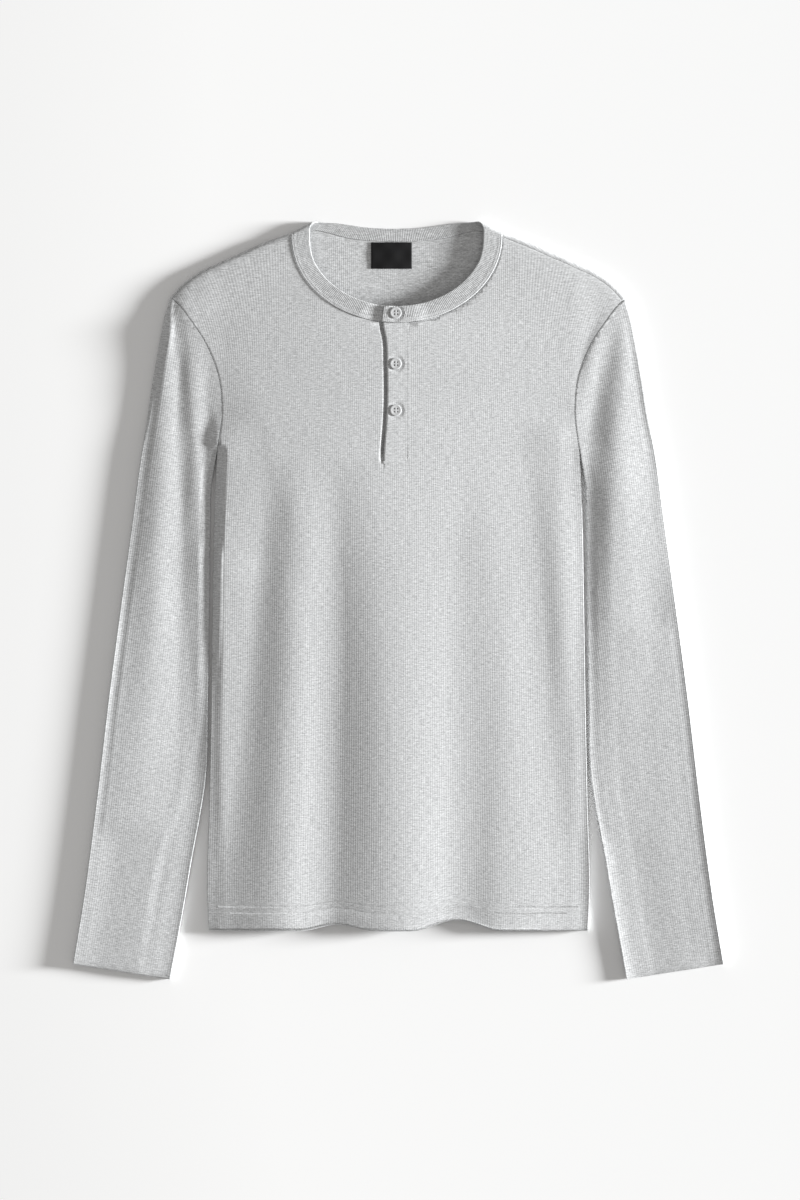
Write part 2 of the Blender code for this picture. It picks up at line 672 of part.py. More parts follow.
def build_sleeve(name, side, collection, material):
    """A sleeve runs from the armhole to the cuff as one closed ring, folded at its inner and outer edge."""
    tip = ARMHOLE_LENGTH - np.array([WRAP, -FOLD_ROWS[0], FOLD_ROWS[3], 0.0])
    lengths = np.concatenate([[0.0], arm_rows(), tip])
    across = lengths / ARMHOLE_LENGTH
    down = np.array(SLEEVE_STEPS)
    arm = armhole_places(side, lengths, SEAM_GAP / 2)
    inner_y = UNDERARM[1] + (CUFF_INNER[1] - UNDERARM[1]) * down
    outer_y = TOP_FOLD[-1].y + (CUFF_OUTER[1] - TOP_FOLD[-1].y) * down
    inner = np.stack([side * sleeve_inner_half(inner_y), inner_y], axis=1)
    outer = np.stack([side * sleeve_outer_half(outer_y), outer_y], axis=1)
    inner[0], outer[0] = arm[0], arm[-1]
    cuff = inner[-1] + across[:, None] * (outer[-1] - inner[-1])
    plan = patch(arm, cuff, inner, outer, across, (1.0 - (1.0 - down) ** 8, 1.0 - (1.0 - down) ** 3))
    spread = np.sqrt(np.minimum(down[1:], UNDERARM_SPREAD) / UNDERARM_SPREAD)
    apart = UNDERARM_SPACE * spread[:, None] * (1.0 - across)
    least = side * (arm[:, 0] - arm[0, 0]) + apart
    least[:, 1:3] = UNDERARM_STEPS[:2]
    least[:, 3] = np.minimum(least[:, 3], UNDERARM_STEPS[2])
    plan[1:, 1:-1, 0] = side * np.maximum(side * plan[1:, 1:-1, 0], (side * inner[1:, :1] + least)[:, 1:-1])
    upper, upper_normals = skin(plan, 1.0)
    lower, lower_normals = skin(plan[:, -2:0:-1], -1.0)
    points = np.concatenate([upper, lower], axis=1)
    normals = np.concatenate([upper_normals, lower_normals], axis=1)
    for column, direction in ((0, -side), (plan.shape[1] - 1, side)):
        along = np.gradient(plan[:, column], axis=0)
        along /= np.linalg.norm(along, axis=1, keepdims=True)
        outward = np.stack([-along[:, 1], along[:, 0]], axis=1)
        outward *= np.sign(outward[:, :1] * direction)
        points[:, column, 2] = EDGE_HEIGHT
        normals[:, column] = np.column_stack([outward, np.zeros(len(down))])
    normals[0, 0] = (0.0, -1.0, 0.0)
    normals[0, plan.shape[1] - 1, :2] = -fold_place(side * SHOULDER_TIP)[1]
    thickness = np.where(down >= SLEEVE_STEPS[-2], 2.0 * WALL, WALL)[:, None, None]
    inward = -normals * thickness
    if side > 0:
        points, inward = points[:, ::-1], inward[:, ::-1]
    around = np.append(np.arange(points.shape[1]), 0)
    return wall(name, [(points[:, around], inward[:, around])], collection, material)


def band_angles():
    """The places on the front neckline where the band's stations are: from the under end to the left shoulder, and
    from the right shoulder to the top end."""
    step = math.pi / NECK_STEPS
    under_end = math.acos((PLACKET_RIGHT - SEAM_GAP - NECK_LEAN) / NECK_HALF)
    top_end = math.acos((SLIT[-1].x - NECK_LEAN) / NECK_HALF)
    first = math.ceil(under_end / step + 0.3)
    last = math.floor(top_end / step - 0.3)
    return np.append(under_end, np.arange(first, NECK_STEPS + 1) * step), np.append(np.arange(last + 1) * step, top_end)


def build_neckband(collection, material):
    """A doubled strip round the neck. Its top end laps over its under end above the placket."""
    widths = np.array([0.0, 0.08, 0.5, 0.92, 1.0])
    crown = np.array([0.0, 0.8, 1.0, 0.8, 0.0])
    grids = []
    for angles in band_angles():
        seam = neck_front(angles, -SEAM_GAP / 2)
        free = neck_front(angles, 0.0, BAND_INNER_HALF, BAND_INNER_Y, BAND_INNER_DROP)
        grids.append(skin(seam[:, None] + widths[None, :, None] * (free - seam)[:, None], 1.0))
    seam_q, seam_wrap = round_curve(BACK_NECKLINE, -SEAM_GAP / 2)
    free_q, free_wrap = round_curve(BAND_TOP)
    q = -(seam_q[1:-1, None] + widths * (free_q - seam_q)[1:-1, None])
    wrap = seam_wrap[1:-1, None] + widths * (free_wrap - seam_wrap)[1:-1, None]
    grids.insert(1, skin(*fold_skin(q, wrap)))
    points, normals = (np.concatenate(part) for part in zip(*grids))
    counts = [len(grid[0]) for grid in grids]
    stations = np.arange(sum(counts))
    x = points[:, 0, 0]
    lap = (BAND_WALL + LIFT_GAP) / 2
    under = smooth((x - SLIT[-1].x + LAP_CLEAR + LAP_RAMP) / LAP_RAMP) * (stations < counts[0])
    over = smooth((PLACKET_RIGHT + LAP_CLEAR + LAP_RAMP - x) / LAP_RAMP)
    over *= stations >= counts[0] + counts[1]
    level = smooth(wrap_share(points[..., 2]))
    shift = level * BAND_RAISE * (1.0 + BAND_CROWN * crown[None]) + lap * (over - under)[:, None]
    grid = (points + normals * shift[..., None], -normals * BAND_WALL)
    return wall("neckband", [grid], collection, material)


def wrap_share(height):
    """0 where the cloth lies on the surface, and 1 where it is on the upper layer."""
    return (height - EDGE_HEIGHT) / EDGE_HEIGHT


PLACKET_TOP_Y = float(neck_front(np.array([math.pi / 2]), 0.0)[0, 1])


def placket_plan(left_off):
    """A placket strip in plan from its lower end to the neckband. left_off moves its left edge off the open edge."""
    columns = np.linspace(0.0, 1.0, 5)
    right = PLACKET_RIGHT - SEAM_GAP
    corner = slit_x(PLACKET_TOP_Y) + left_off
    angles = np.arccos((corner + (right - corner) * columns - NECK_LEAN) / NECK_HALF)
    top = neck_front(angles, SEAM_GAP / 2)[:, 1]
    bottom = PLACKET_END_Y + SEAM_GAP
    ys = bottom + (top[None] - bottom) * np.linspace(0.0, 1.0, PLACKET_ROWS)[:, None]
    left = slit_x(ys) + left_off
    return np.stack([left + (right - left) * columns, ys], axis=-1)


def build_placket(collection, material):
    """The strip with the buttonholes lies over the strip with the buttons, half above and half below the front."""
    strips = [
        ("placket_top", 0.0, LIFT_GAP / 2 + BAND_WALL),
        ("placket_under", SEAM_GAP - UNDERLAP, -LIFT_GAP / 2),
    ]
    for name, left_off, level in strips:
        points, normals = skin(placket_plan(left_off), 1.0)
        outer = points + normals * (level - WALL / 2)
        wall(name, [(outer, -normals * BAND_WALL)], collection, material)


def prism(name, outline, low, high, collection):
    """A closed prism over an outline that runs anticlockwise seen from above."""
    count = len(outline)
    vertices = [(x, y, low) for x, y in outline] + [(x, y, high) for x, y in outline]
    faces = [(i, (i + 1) % count, count + (i + 1) % count, count + i) for i in range(count)]
    faces += [tuple(range(count))[::-1], tuple(range(count, 2 * count))]
    mesh = bpy.data.meshes.new(name)
    mesh.from_pydata(vertices, [], faces)
    obj = bpy.data.objects.new(name, mesh)
    collection.objects.link(obj)
    return obj


def cut_placket_opening(front, cutters):
    """The front is open over the whole placket, from its lower end to the neckline."""
    ys = np.append(np.linspace(PLACKET_END_Y, SLIT[-1].y, 2 * PLACKET_ROWS), BAND_INNER_Y)
    left = [(slit_x(y) - UNDERLAP, y) for y in ys[::-1]]
    outline = [*left, (PLACKET_RIGHT, ys[0]), (PLACKET_RIGHT, ys[-1])]
    cut_with(front, prism("placket_opening", outline, -0.02, 0.06, cutters))


def button_blank(name, collection, material):
    """A turned disc with a raised rim round a dish."""
    face = BUTTON_RADIUS - BUTTON_RIM
    edge = BUTTON_HEIGHT * 0.3
    profile = [
        (0.0, BUTTON_HEIGHT - BUTTON_DISH),
        (face * 0.8, BUTTON_HEIGHT - BUTTON_DISH),
        (face, BUTTON_HEIGHT - BUTTON_DISH * 0.7),
        (face + BUTTON_RIM * 0.3, BUTTON_HEIGHT),
        (BUTTON_RADIUS - BUTTON_RIM * 0.35, BUTTON_HEIGHT),
        (BUTTON_RADIUS, BUTTON_HEIGHT - edge),
        (BUTTON_RADIUS, edge),
        (BUTTON_RADIUS - edge, 0.0),
        (0.0, 0.0),
    ]
    mesh = bpy.data.meshes.new(name)
    mesh.from_pydata([(r, 0.0, z) for r, z in profile], [(i, i + 1) for i in range(len(profile) - 1)], [])
    mesh.materials.append(material)
    obj = bpy.data.objects.new(name, mesh)
    collection.objects.link(obj)
    screw = obj.modifiers.new("turn", "SCREW")
    screw.axis = "Z"
    screw.steps = BUTTON_SIDES
    screw.render_steps = BUTTON_SIDES
    screw.use_merge_vertices = True
    screw.merge_threshold = 0.00001
    screw.use_smooth_shade = True
    return obj


def button_hole_cutter(index, location, rotation, cutters):
    """Four pins that stand through a button."""
    bpy.ops.mesh.primitive_cylinder_add(vertices=6, radius=BUTTON_HOLE_RADIUS, depth=BUTTON_HEIGHT * 4)
    cutter = bpy.context.active_object
    cutter.name = f"button_{index}_hole_pin"
    for owner in list(cutter.users_collection):
        owner.objects.unlink(cutter)
    cutters.objects.link(cutter)
    cutter.location = location
    cutter.rotation_euler = rotation
    for axis in (0, 1):
        row = cutter.modifiers.new(f"pair_{axis}", "ARRAY")
        row.count = 2
        row.use_relative_offset = False
        row.use_constant_offset = True
        offset = [0.0, 0.0, 0.0]
        offset[axis] = 2.0 * BUTTON_HOLE_OFFSET
        row.constant_offset_displace = offset
    return cutter


def button_seat(y):
    """The place and tilt of a button on the placket or the neckband."""
    points, normals = skin(np.array([[BUTTON_X, y]]), 1.0)
    on_band = y > PLACKET_TOP_Y
    if on_band:
        level = BAND_RAISE * (1.0 + BAND_CROWN) + (BAND_WALL + LIFT_GAP) / 2
    else:
        level = LIFT_GAP / 2 + BAND_WALL - WALL / 2
    return points[0] + normals[0] * (level + LIFT_GAP), normals[0]


def build_buttons(collection, cutters, material):
    for index, y in enumerate(BUTTON_YS, start=1):
        seat, normal = button_seat(y)
        tilt = (math.atan2(-normal[1], normal[2]), math.atan2(normal[0], normal[2]), 0.0)
        button = button_blank(f"button_{index}", collection, material)
        button.location = seat
        button.rotation_euler = tilt
        corner = np.array([-BUTTON_HOLE_OFFSET, -BUTTON_HOLE_OFFSET, 0.0])
        cutter = button_hole_cutter(index, seat + corner, tilt, cutters)
        cut_with(button, cutter)


def build_label(collection, material):
    """The woven label lies on the inside of the back, under the band."""
    width, height = LABEL_SIZE
    bpy.ops.mesh.primitive_cube_add(size=1.0)
    label = bpy.context.active_object
    label.name = "neck_label"
    for owner in list(label.users_collection):
        owner.objects.unlink(label)
    collection.objects.link(label)
    label.scale = (width, height, LABEL_WALL)
    label.location = (*LABEL_CENTRE, WALL + LIFT_GAP + LABEL_WALL / 2)
    label.data.materials.append(material)


def main():
    clear_scene()
    shirt = new_collection("henley_shirt")
    cutters = new_collection("cutters")
    cutters.hide_render = True
    knit = new_material("rib_knit", (0.66, 0.67, 0.68), 0.9)
    band = new_material("rib_band", (0.64, 0.65, 0.66), 0.9)
    shell = new_material("button_resin", (0.72, 0.72, 0.70), 0.35)
    woven = new_material("label_satin", (0.012, 0.013, 0.015), 0.5)
    front = build_front(shirt, knit)
    cut_placket_opening(front, cutters)
    build_back(shirt, knit)
    build_sleeve("sleeve_left", -1, shirt, knit)
    build_sleeve("sleeve_right", 1, shirt, knit)
    build_neckband(shirt, band)
    build_placket(shirt, band)
    build_buttons(shirt, cutters, shell)
    build_label(shirt, woven)


main()
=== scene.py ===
"""Looks of the henley shirt: the rib knit, its seams and stitches, the buttons and the label, round the
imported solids.

Lengths are in metres, in the row frame: the shirt lies on z = 0 with its front up, X to the viewer's right
and Y from the hem to the neck. The outlines and seams follow the solids' sizes, and the folds lie lower
than the solids' folds. `skin` gives the outer face of the cloth. `net` lays a triangle net over the
outline of a panel in the panel's own coordinates, r across the ribs and v along them, so that the ribs are
real relief along the columns of the net.
"""

import math

import bpy
import numpy as np
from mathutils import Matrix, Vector
from mathutils.geometry import delaunay_2d_cdt


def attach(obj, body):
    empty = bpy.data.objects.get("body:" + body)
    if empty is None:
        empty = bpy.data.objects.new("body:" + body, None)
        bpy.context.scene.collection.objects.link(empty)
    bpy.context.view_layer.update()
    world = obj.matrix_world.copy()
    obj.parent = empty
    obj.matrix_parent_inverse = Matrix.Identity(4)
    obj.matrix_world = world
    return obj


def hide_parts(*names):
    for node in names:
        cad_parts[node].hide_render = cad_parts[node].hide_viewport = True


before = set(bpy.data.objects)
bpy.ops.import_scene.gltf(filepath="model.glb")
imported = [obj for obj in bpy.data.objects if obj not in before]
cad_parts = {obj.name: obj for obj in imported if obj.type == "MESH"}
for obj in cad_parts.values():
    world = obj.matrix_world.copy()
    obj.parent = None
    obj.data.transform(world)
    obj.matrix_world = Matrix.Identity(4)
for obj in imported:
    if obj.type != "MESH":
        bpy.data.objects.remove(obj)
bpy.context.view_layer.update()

# The cloth
MM = 0.001
WALL = 0.0012
BAND_WALL = 0.0017
SEAM_GAP = 0.0003
LIFT_GAP = 0.0003
RIB = 0.0022  # from rib to rib on the body and the sleeves
COLUMN = RIB / 4.0  # the net's spacing across the ribs
ROW = 0.0068  # and along them
BAND_RIB = 0.0018
RIB_DEPTH = 0.00008
BAND_RIB_DEPTH = 0.00022

# How the cloth lies
EDGE_HEIGHT = 0.0038
QUARTER = 0.5 * math.pi * EDGE_HEIGHT  # the length of cloth round a quarter of the folded edge
EDGE_REACH = 0.0316
FOLD_FADE = 0.012
INNER_DROP = 0.0010
INNER_REACH = 0.026
SIDE_DROP = 0.0006
SIDE_REACH = 0.012
# how far past the sleeve's inner edge, towards the body, a place still counts as the sleeve's
BESIDE = -0.001
# below the underarms the rounded folds at the sides are pressed to this share of their width
EDGE_PRESS = 0.25
RIGHT_PRESS = 0.08  # and those that face the viewer's right, at the gaps beside the body, to this share
TINY = 0.0005  # the half-step by which directions along seams and folds are taken
SLOPE_STEP = 0.0004  # and the one for the slopes of the skin

# The body
HEM_Y = -0.3295
HEM_HALF = 0.1895
HEM_DEPTH = 0.022
HEM_FADE = 0.09  # how fast the hem's rise fades up the cloth
BACK_HEM_RISE = 0.0135
UNDERARM_X, UNDERARM_Y = UNDERARM = (0.1815, 0.146)
SHOULDER_TIP, TIP_Y = TIP = (0.228, 0.3035)
SEAM_FORWARD = 0.00435
SEAM_SHIFT_LEFT = -0.0019
SEAM_SHIFT_RIGHT = 0.0010
FOLD_BACK = 0.0045  # where the back's net turns into the strip that wraps over the shoulder
SIDE_R = 0.1865  # the rib coordinate of the side of the body

# The neck
NECK_LEAN = -0.002
NECK_HALF = 0.1055
NECK_FRONT_DROP = 0.0865
BAND_INNER_HALF = 0.0885
BAND_INNER_Y = 0.3655
BAND_INNER_DROP = 0.0715
BAND_RAISE = 0.00072  # the band's face over the cloth's

# The sleeves
CUFF_INNER_Y = -0.3785
CUFF_OUTER_Y = -0.3630
CUFF_T = TIP_Y - CUFF_OUTER_Y
CUFF_DEPTH = 0.0216

# The placket
PLACKET_RIGHT = 0.0092
PLACKET_END_Y = 0.1380
UNDERLAP = 0.0010
LAP_RAMP = 0.018
LAP_CLEAR = 0.006
LIP = 0.0012  # the front reaches this far under the top strip's open edge
STRIP_CLEAR = 0.00003
STRIP_RISE = 0.0002  # the top strip's face over the right front's
UNDER_LEVEL = -0.0014  # the under strip's face over the left front's
STRIP_RIBS_X = 0.0010  # to the right of this the strip's ribs are as deep as the front's
STRIP_RIB_DEPTH = 0.00003
SLIT_DIP = 0.0034  # how deep the left front dips beside the top strip's open edge
SLIT_REACH = 0.0036
LEFT_REACH = 0.24  # how far the rise at the opening reaches to its left
OPENING_STEP = 0.25  # the share of that rise by which the left front lies lower

# The seams and the rows of stitches
SEAM_ROWS = (0.0009, 0.0019)  # the net's rows beside a seam
SEAM_DROP = 0.00045
SEAM_NEAR = 0.0070  # the ribs' relief fades out over this much of the cloth beside a seam
FRONT_DROPS = (0.0, 0.3, 1.0) * 2  # the share of the dip at its armhole, shoulder and neck, then on the left
BACK_DROP = 0.4
HEM_ROWS = (0.0004, 0.0012)
STITCH_ROWS = (0.0190, 0.0254)  # the hem's two rows of stitches over its edge
STITCH_DIP = 0.00005
STITCH_SIDE = 0.0011
STITCH_AHEAD = 0.0006  # the step by which a stitch's direction is taken
STITCH_SINK = 0.00024  # how deep the hem's stitches sit in the cloth
HEM_LINES = [*HEM_ROWS, *(row + side for row in STITCH_ROWS for side in (-STITCH_SIDE, 0.0, STITCH_SIDE)),
             HEM_DEPTH]
INNER_ROWS = (0.00012, 0.00045, 0.0011)  # the net's rows beside the sleeve's inner fold
INNER_FADE = 0.0025  # the ribs' relief fades in this far from the inner fold
DENSE = 400  # places along each line of an outline

# The buttons and the label
BUTTON_X = -0.0025
BUTTON_YS = (0.2868, 0.2365, 0.1900)
BUTTON_RADIUS = 0.0057
BUTTON_HEIGHT = 0.0014
BUTTON_DIP = 0.0007
BUTTON_GAP = 0.0001
BUTTON_RINGS = (0.0006, 0.0012, 0.0019, 0.0026, 0.0033, 0.0038, 0.0041, 0.0044, 0.0047, 0.0050, 0.0053,
                0.0055,
                BUTTON_RADIUS)
RIM = 48  # corners round a button
HOLE_RADIUS = 0.00078
HOLE_OFFSET = 0.0015
HOLE_CORNERS = 14
BAND_TOP_LEVEL = BAND_RAISE + (BAND_WALL + LIFT_GAP) / 2  # the band's top end over the skin
LABEL_SIZE = (0.041, 0.0265)
LABEL_CENTRE = (-0.0068, 0.3455)
LABEL_STITCH_IN = 0.0016

# Half-widths at heights: y, half
BODY_SIDE = ((HEM_Y, HEM_HALF), (-0.300, 0.1910), (-0.200, 0.1890), (-0.100, 0.1870), (0.000, 0.1855),
             (0.100, 0.1835), (UNDERARM_Y, UNDERARM_X))
CLOTH_ABOVE = ((0.230, 0.1760), (0.390, 0.1730))
SLEEVE_INNER = ((CUFF_INNER_Y, 0.2280), (-0.300, 0.2135), (-0.250, 0.2050), (-0.219, 0.1990),
                (-0.180, 0.1928),
                (-0.100, 0.1903), (0.000, 0.1888), (0.080, 0.1878), (0.120, 0.1863), (UNDERARM_Y, UNDERARM_X))
SLEEVE_OUTER = ((CUFF_OUTER_Y, 0.3257), (-0.299, 0.3152), (-0.199, 0.3020), (-0.099, 0.2902), (0.001, 0.2770),
                (0.081, 0.2660), (0.141, 0.2580), (0.181, 0.2515), (0.221, 0.2455), (0.261, 0.2385),
                (0.285, 0.2335), (TIP_Y, SHOULDER_TIP))
# Heights at half-widths: half, y
TOP_FOLD = ((0.000, 0.3815), (0.040, 0.3815), (0.066, 0.3814), (0.082, 0.3794), (0.104, 0.3690),
            (0.136, 0.3572),
            (0.152, 0.3500), (0.180, 0.3375), (0.204, 0.3255), (0.218, 0.3145), TIP)
ARMHOLE = (UNDERARM, (0.1786, 0.1640), (0.1763, 0.1840), (0.1766, 0.2030), (0.1793, 0.2234), (0.1860, 0.2436),
           (0.1946, 0.2615), (0.2055, 0.2775), (0.2191, 0.2954), TIP)
# The ribs' lean on the sleeves: y, degrees
SLEEVE_LEANS = ((-0.363, 9.01), (-0.250, 7.9), (-0.050, 7.5), (0.120, 8.0), (0.220, 9.6), (0.3035, 13.5))
# The placket's open edge: y, x
SLIT = ((0.1380, -0.0148), (0.1510, -0.0143), (0.1710, -0.0126), (0.1910, -0.0115), (0.2360, -0.0115),
        (0.2600, -0.0124), (0.2740, -0.0152), (0.2900, -0.0166))
# Where the front's hem is drawn up: x, reach, rise
HEM_DIPS = ((-0.060, 0.038, 0.0062), (0.058, 0.046, 0.0105))
# The height of the cloth between its folds, in mm: y, body, left sleeve, right sleeve
LOFTS = ((-359, 6.8, 5.8, 3.9), (-199, 7.1, 4.8, 4.2), (-49, 7.3, 2.7, 5.4), (81, 8.1, 7.6, 8.0),
         (201, 6.2, 6.5, 5.1), (301, 8.7, 9.3, 8.1))
# The rise at the placket's opening, in mm: y, rise, reach to the right
RAISES = ((61, 0.9, 181), (121, 0.9, 198), (171, 1.9, 195), (221, 2.0, 220), (271, 2.8, 257))
# The soft folds at stations down them, in mm: y, the crest's x, the reach to its left and right, the rise
FOLDS = {
    "body_left": ((121, -98.8, 36, 44, 0.8), (41, -101.4, 41, 47, 4.2), (-39, -103.4, 47, 52, 4.5),
                  (-139, -110.7, 49, 57, 4.1), (-239, -115.3, 62, 60, 5.2), (-329, -118.2, 78, 58, 6.1)),
    "body_middle": ((121, -17.6, 72, 174, 1.5), (41, -17.4, 94, 132, 4.9), (-39, -12.6, 83, 114, 5.7),
                    (-139, -7.2, 80, 101, 6.1), (-239, -4.8, 91, 94, 7.0), (-329, -3.4, 106, 89, 7.3)),
    "body_right": ((121, 91.0, 33, 44, 0.3), (41, 94.1, 43, 45, 1.2), (-39, 97.2, 51, 45, 1.7),
                   (-139, 102.3, 56, 54, 2.0), (-239, 103.6, 61, 74, 2.8), (-329, 103.1, 61, 93, 3.6)),
    "right_edge": ((161, 157.8, 41, 21, 0.9), (101, 158.0, 28, 22, 0.7), (41, 161.2, 22, 23, 0.9),
                   (-39, 164.4, 19, 16, 0.9), (-139, 167.0, 17, 14, 0.1), (-239, 169.4, 16, 15, 0.0)),
    "left_edge": ((161, -180.5, 10, 46, 2.4), (81, -186.5, 12, 75, 5.0), (1, -182.2, 14, 103, 2.8),
                  (-99, -179.7, 14, 62, 0.7), (-199, -173.9, 14, 38, 0.6), (-299, -171.4, 14, 32, 0.4)),
    "chest_left": ((271, -143.6, 205, 321, 4.3), (221, -136.3, 137, 396, 4.2), (171, -126.4, 99, 355, 5.8),
                   (121, -121.0, 80, 297, 5.4), (61, -119.7, 55, 196, 2.1)),
    "left_sleeve_outer": ((291, -233.5, 16, 10, 7.1), (251, -235.1, 21, 16, 1.8), (201, -232.2, 25, 23, 2.3),
                          (151, -234.7, 25, 28, 2.5), (81, -239.7, 27, 27, 2.1), (1, -246.7, 38, 36, 4.1),
                          (-99, -260.0, 39, 56, 3.9), (-219, -276.7, 32, 69, 1.8)),
    "left_sleeve_inner": ((301, -215.6, 9, 15, 0.4), (261, -207.7, 11, 19, 0.4), (201, -206.8, 15, 19, 1.8),
                          (151, -203.7, 19, 14, 1.9), (81, -194.2, 24, 13, 2.7), (1, -191.2, 24, 13, 0.6)),
    "left_sleeve_low": ((41, -178.6, 62, 5, 2.4), (-59, -186.9, 113, 10, 2.4), (-159, -211.6, 123, 14, 0.2),
                        (-259, -243.9, 138, 14, 0.8), (-359, -262.0, 91, 16, 0.7)),
    "right_sleeve_ridge": ((291, 220.8, 14, 11, 0.0), (251, 222.4, 21, 15, 1.3), (201, 221.6, 28, 25, 2.8),
                           (151, 218.7, 33, 42, 3.8), (81, 218.5, 33, 38, 1.7), (1, 217.1, 56, 52, 1.7),
                           (-99, 218.9, 56, 36, 1.4), (-219, 226.0, 94, 39, 0.7)),
    "right_sleeve_seam": ((291, 212.0, 12, 14, 0.1), (251, 196.6, 13, 20, 1.2), (201, 185.9, 12, 24, 0.3),
                          (161, 175.9, 11, 17, 0.0), (121, 167.3, 11, 12, 0.0)),
    "right_sleeve_low": ((-39, 255.1, 44, 33, 1.4), (-139, 266.2, 54, 34, 1.9), (-239, 279.0, 57, 31, 1.8),
                         (-339, 296.0, 54, 28, 1.6)),
}
FOLD_END = 0.03  # how far past its first and last station a fold runs out
LOW_END = -0.30  # a fold whose last station is lower runs out over the edge of the cloth

MIRROR = np.array([-1.0, 1.0])
CHUNK = 4000  # places that are measured at once


# Small sums


def smooth(value):
    value = np.clip(value, 0.0, 1.0)
    return value * value * (3.0 - 2.0 * value)


def near(distance, reach):
    """1 at no distance, and 0 from the reach on."""
    return np.clip(1.0 - distance / reach, 0.0, 1.0)


def bell(share):
    """1 in the middle, and 0 from a share of 1 on at both sides."""
    return np.cos(0.5 * math.pi * np.clip(np.abs(share), 0.0, 1.0)) ** 2


def paired(x, y):
    return np.stack(np.broadcast_arrays(x, y), axis=-1)


def unit(vectors):
    return vectors / np.linalg.norm(vectors, axis=-1, keepdims=True)


def to_left(directions):
    return np.stack([-directions[:, 1], directions[:, 0]], axis=1)


def lengths_along(points):
    return np.append(0.0, np.cumsum(np.linalg.norm(np.diff(points, axis=0), axis=1)))


def joined(rows):
    return tuple(np.concatenate(parts) for parts in zip(*rows))


def chunks(count):
    return [slice(first, first + CHUNK) for first in range(0, count, CHUNK)]


def curve_through(xs, ys):
    """A function whose smooth curve passes through the points, and which stays level beyond them."""
    xs = np.asarray(xs, float)
    ys = np.asarray(ys, float)
    slopes = np.gradient(ys, xs)

    def value(x):
        x = np.clip(x, xs[0], xs[-1])
        i = np.clip(np.searchsorted(xs, x) - 1, 0, len(xs) - 2)
        step = xs[i + 1] - xs[i]
        t = (x - xs[i]) / step
        ease = t * t * (3.0 - 2.0 * t)
        start = t * (1.0 - t) ** 2 * step * slopes[i]
        end = t * t * (t - 1.0) * step * slopes[i + 1]
        return ys[i] * (1.0 - ease) + ys[i + 1] * ease + start + end

    return value


def curves_of(rows):
    """The curve of each further column of a table in mm over its first."""
    first, *others = np.array(rows, float).T * MM
    return [curve_through(first, other) for other in others]


def fold_curves(stations):
    """A fold's crest, reaches and rise as functions of the distance down from y = 0, and its first and
    last y."""
    down, crest, left, right, rise = np.array(stations).T * MM
    down = -down
    return (curve_through(down, crest), (down, left), (down, right), curve_through(down, rise),
            -down[0], -down[-1])


FOLD_CURVES = [fold_curves(stations) for stations in FOLDS.values()]
body_half, cloth_half, sleeve_inner_half, sleeve_outer_half, top_fold_y, slit_x, sleeve_lean = (
    curve_through(*zip(*rows))
    for rows in (BODY_SIDE, BODY_SIDE + CLOTH_ABOVE, SLEEVE_INNER, SLEEVE_OUTER, TOP_FOLD, SLIT, SLEEVE_LEANS)
)
body_loft, left_loft, right_loft = curves_of(LOFTS)
raise_height, raise_reach = curves_of(RAISES)
ARMHOLE_PLACES = np.array(ARMHOLE)
ARMHOLE_ALONG = lengths_along(ARMHOLE_PLACES)
ARMHOLE_LENGTH = ARMHOLE_ALONG[-1]
armhole_half, armhole_y = (curve_through(ARMHOLE_ALONG, column) for column in ARMHOLE_PLACES.T)


def armhole_at(length):
    return paired(armhole_half(length), armhole_y(length))


def lean(q):
    return NECK_LEAN * (1.0 - np.minimum(np.abs(q) / SHOULDER_TIP, 1.0) ** 2)


def fold_place(q):
    """The place on the top fold for the place q across it, and the direction in plan into the shirt from
    there."""
    q = np.asarray(q, float)
    low, high = (np.clip(q + step, -SHOULDER_TIP, SHOULDER_TIP) for step in (-TINY, TINY))
    slope = (top_fold_y(np.abs(high)) - top_fold_y(np.abs(low))) / (high - low)
    return paired(q + lean(q), top_fold_y(np.abs(q))), unit(paired(slope, -1.0))


def from_fold(q, wrap):
    place, inward = fold_place(q)
    return place + inward * np.abs(np.asarray(wrap, float))[..., None]


def seam_wrap(q):
    """How far forward of the top fold the shoulder seam lies: further on the viewer's right than on the
    left."""
    share = smooth((np.abs(q) - NECK_HALF) / 0.030)
    return SEAM_FORWARD + share * np.where(np.asarray(q) < 0.0, SEAM_SHIFT_LEFT, SEAM_SHIFT_RIGHT)


def armhole_places(side, lengths, off):
    """Places on one armhole seam, moved off it by off, towards the sleeve. side is -1 for the viewer's
    left."""
    lengths = np.asarray(lengths, float)
    ahead = armhole_at(np.minimum(lengths + TINY, ARMHOLE_LENGTH))
    along = unit(ahead - armhole_at(np.maximum(lengths - TINY, 0.0)))
    return (armhole_at(lengths) - off * to_left(along)) * (side, 1.0)


def neck_q():
    """The place across the top fold from which the neck seam starts."""
    guess = NECK_HALF
    for _ in range(8):
        guess += NECK_HALF - (from_fold(guess, SEAM_FORWARD)[0] - lean(guess))
    return guess


NECK_Q = neck_q()


def neck_front(angles, off, half=NECK_HALF, middle=from_fold(NECK_Q, SEAM_FORWARD)[1], drop=NECK_FRONT_DROP):
    """Places on the front neckline. Angle 0 is at the viewer's right shoulder, and off moves out of the
    neck hole."""
    flat = (half + off) * np.cos(angles)
    return paired(flat + lean(flat), middle - (drop + off) * np.sin(angles))


def neck_angle(x):
    """The angle at which the front neckline is at x."""
    return np.arccos((x - NECK_LEAN) / NECK_HALF)


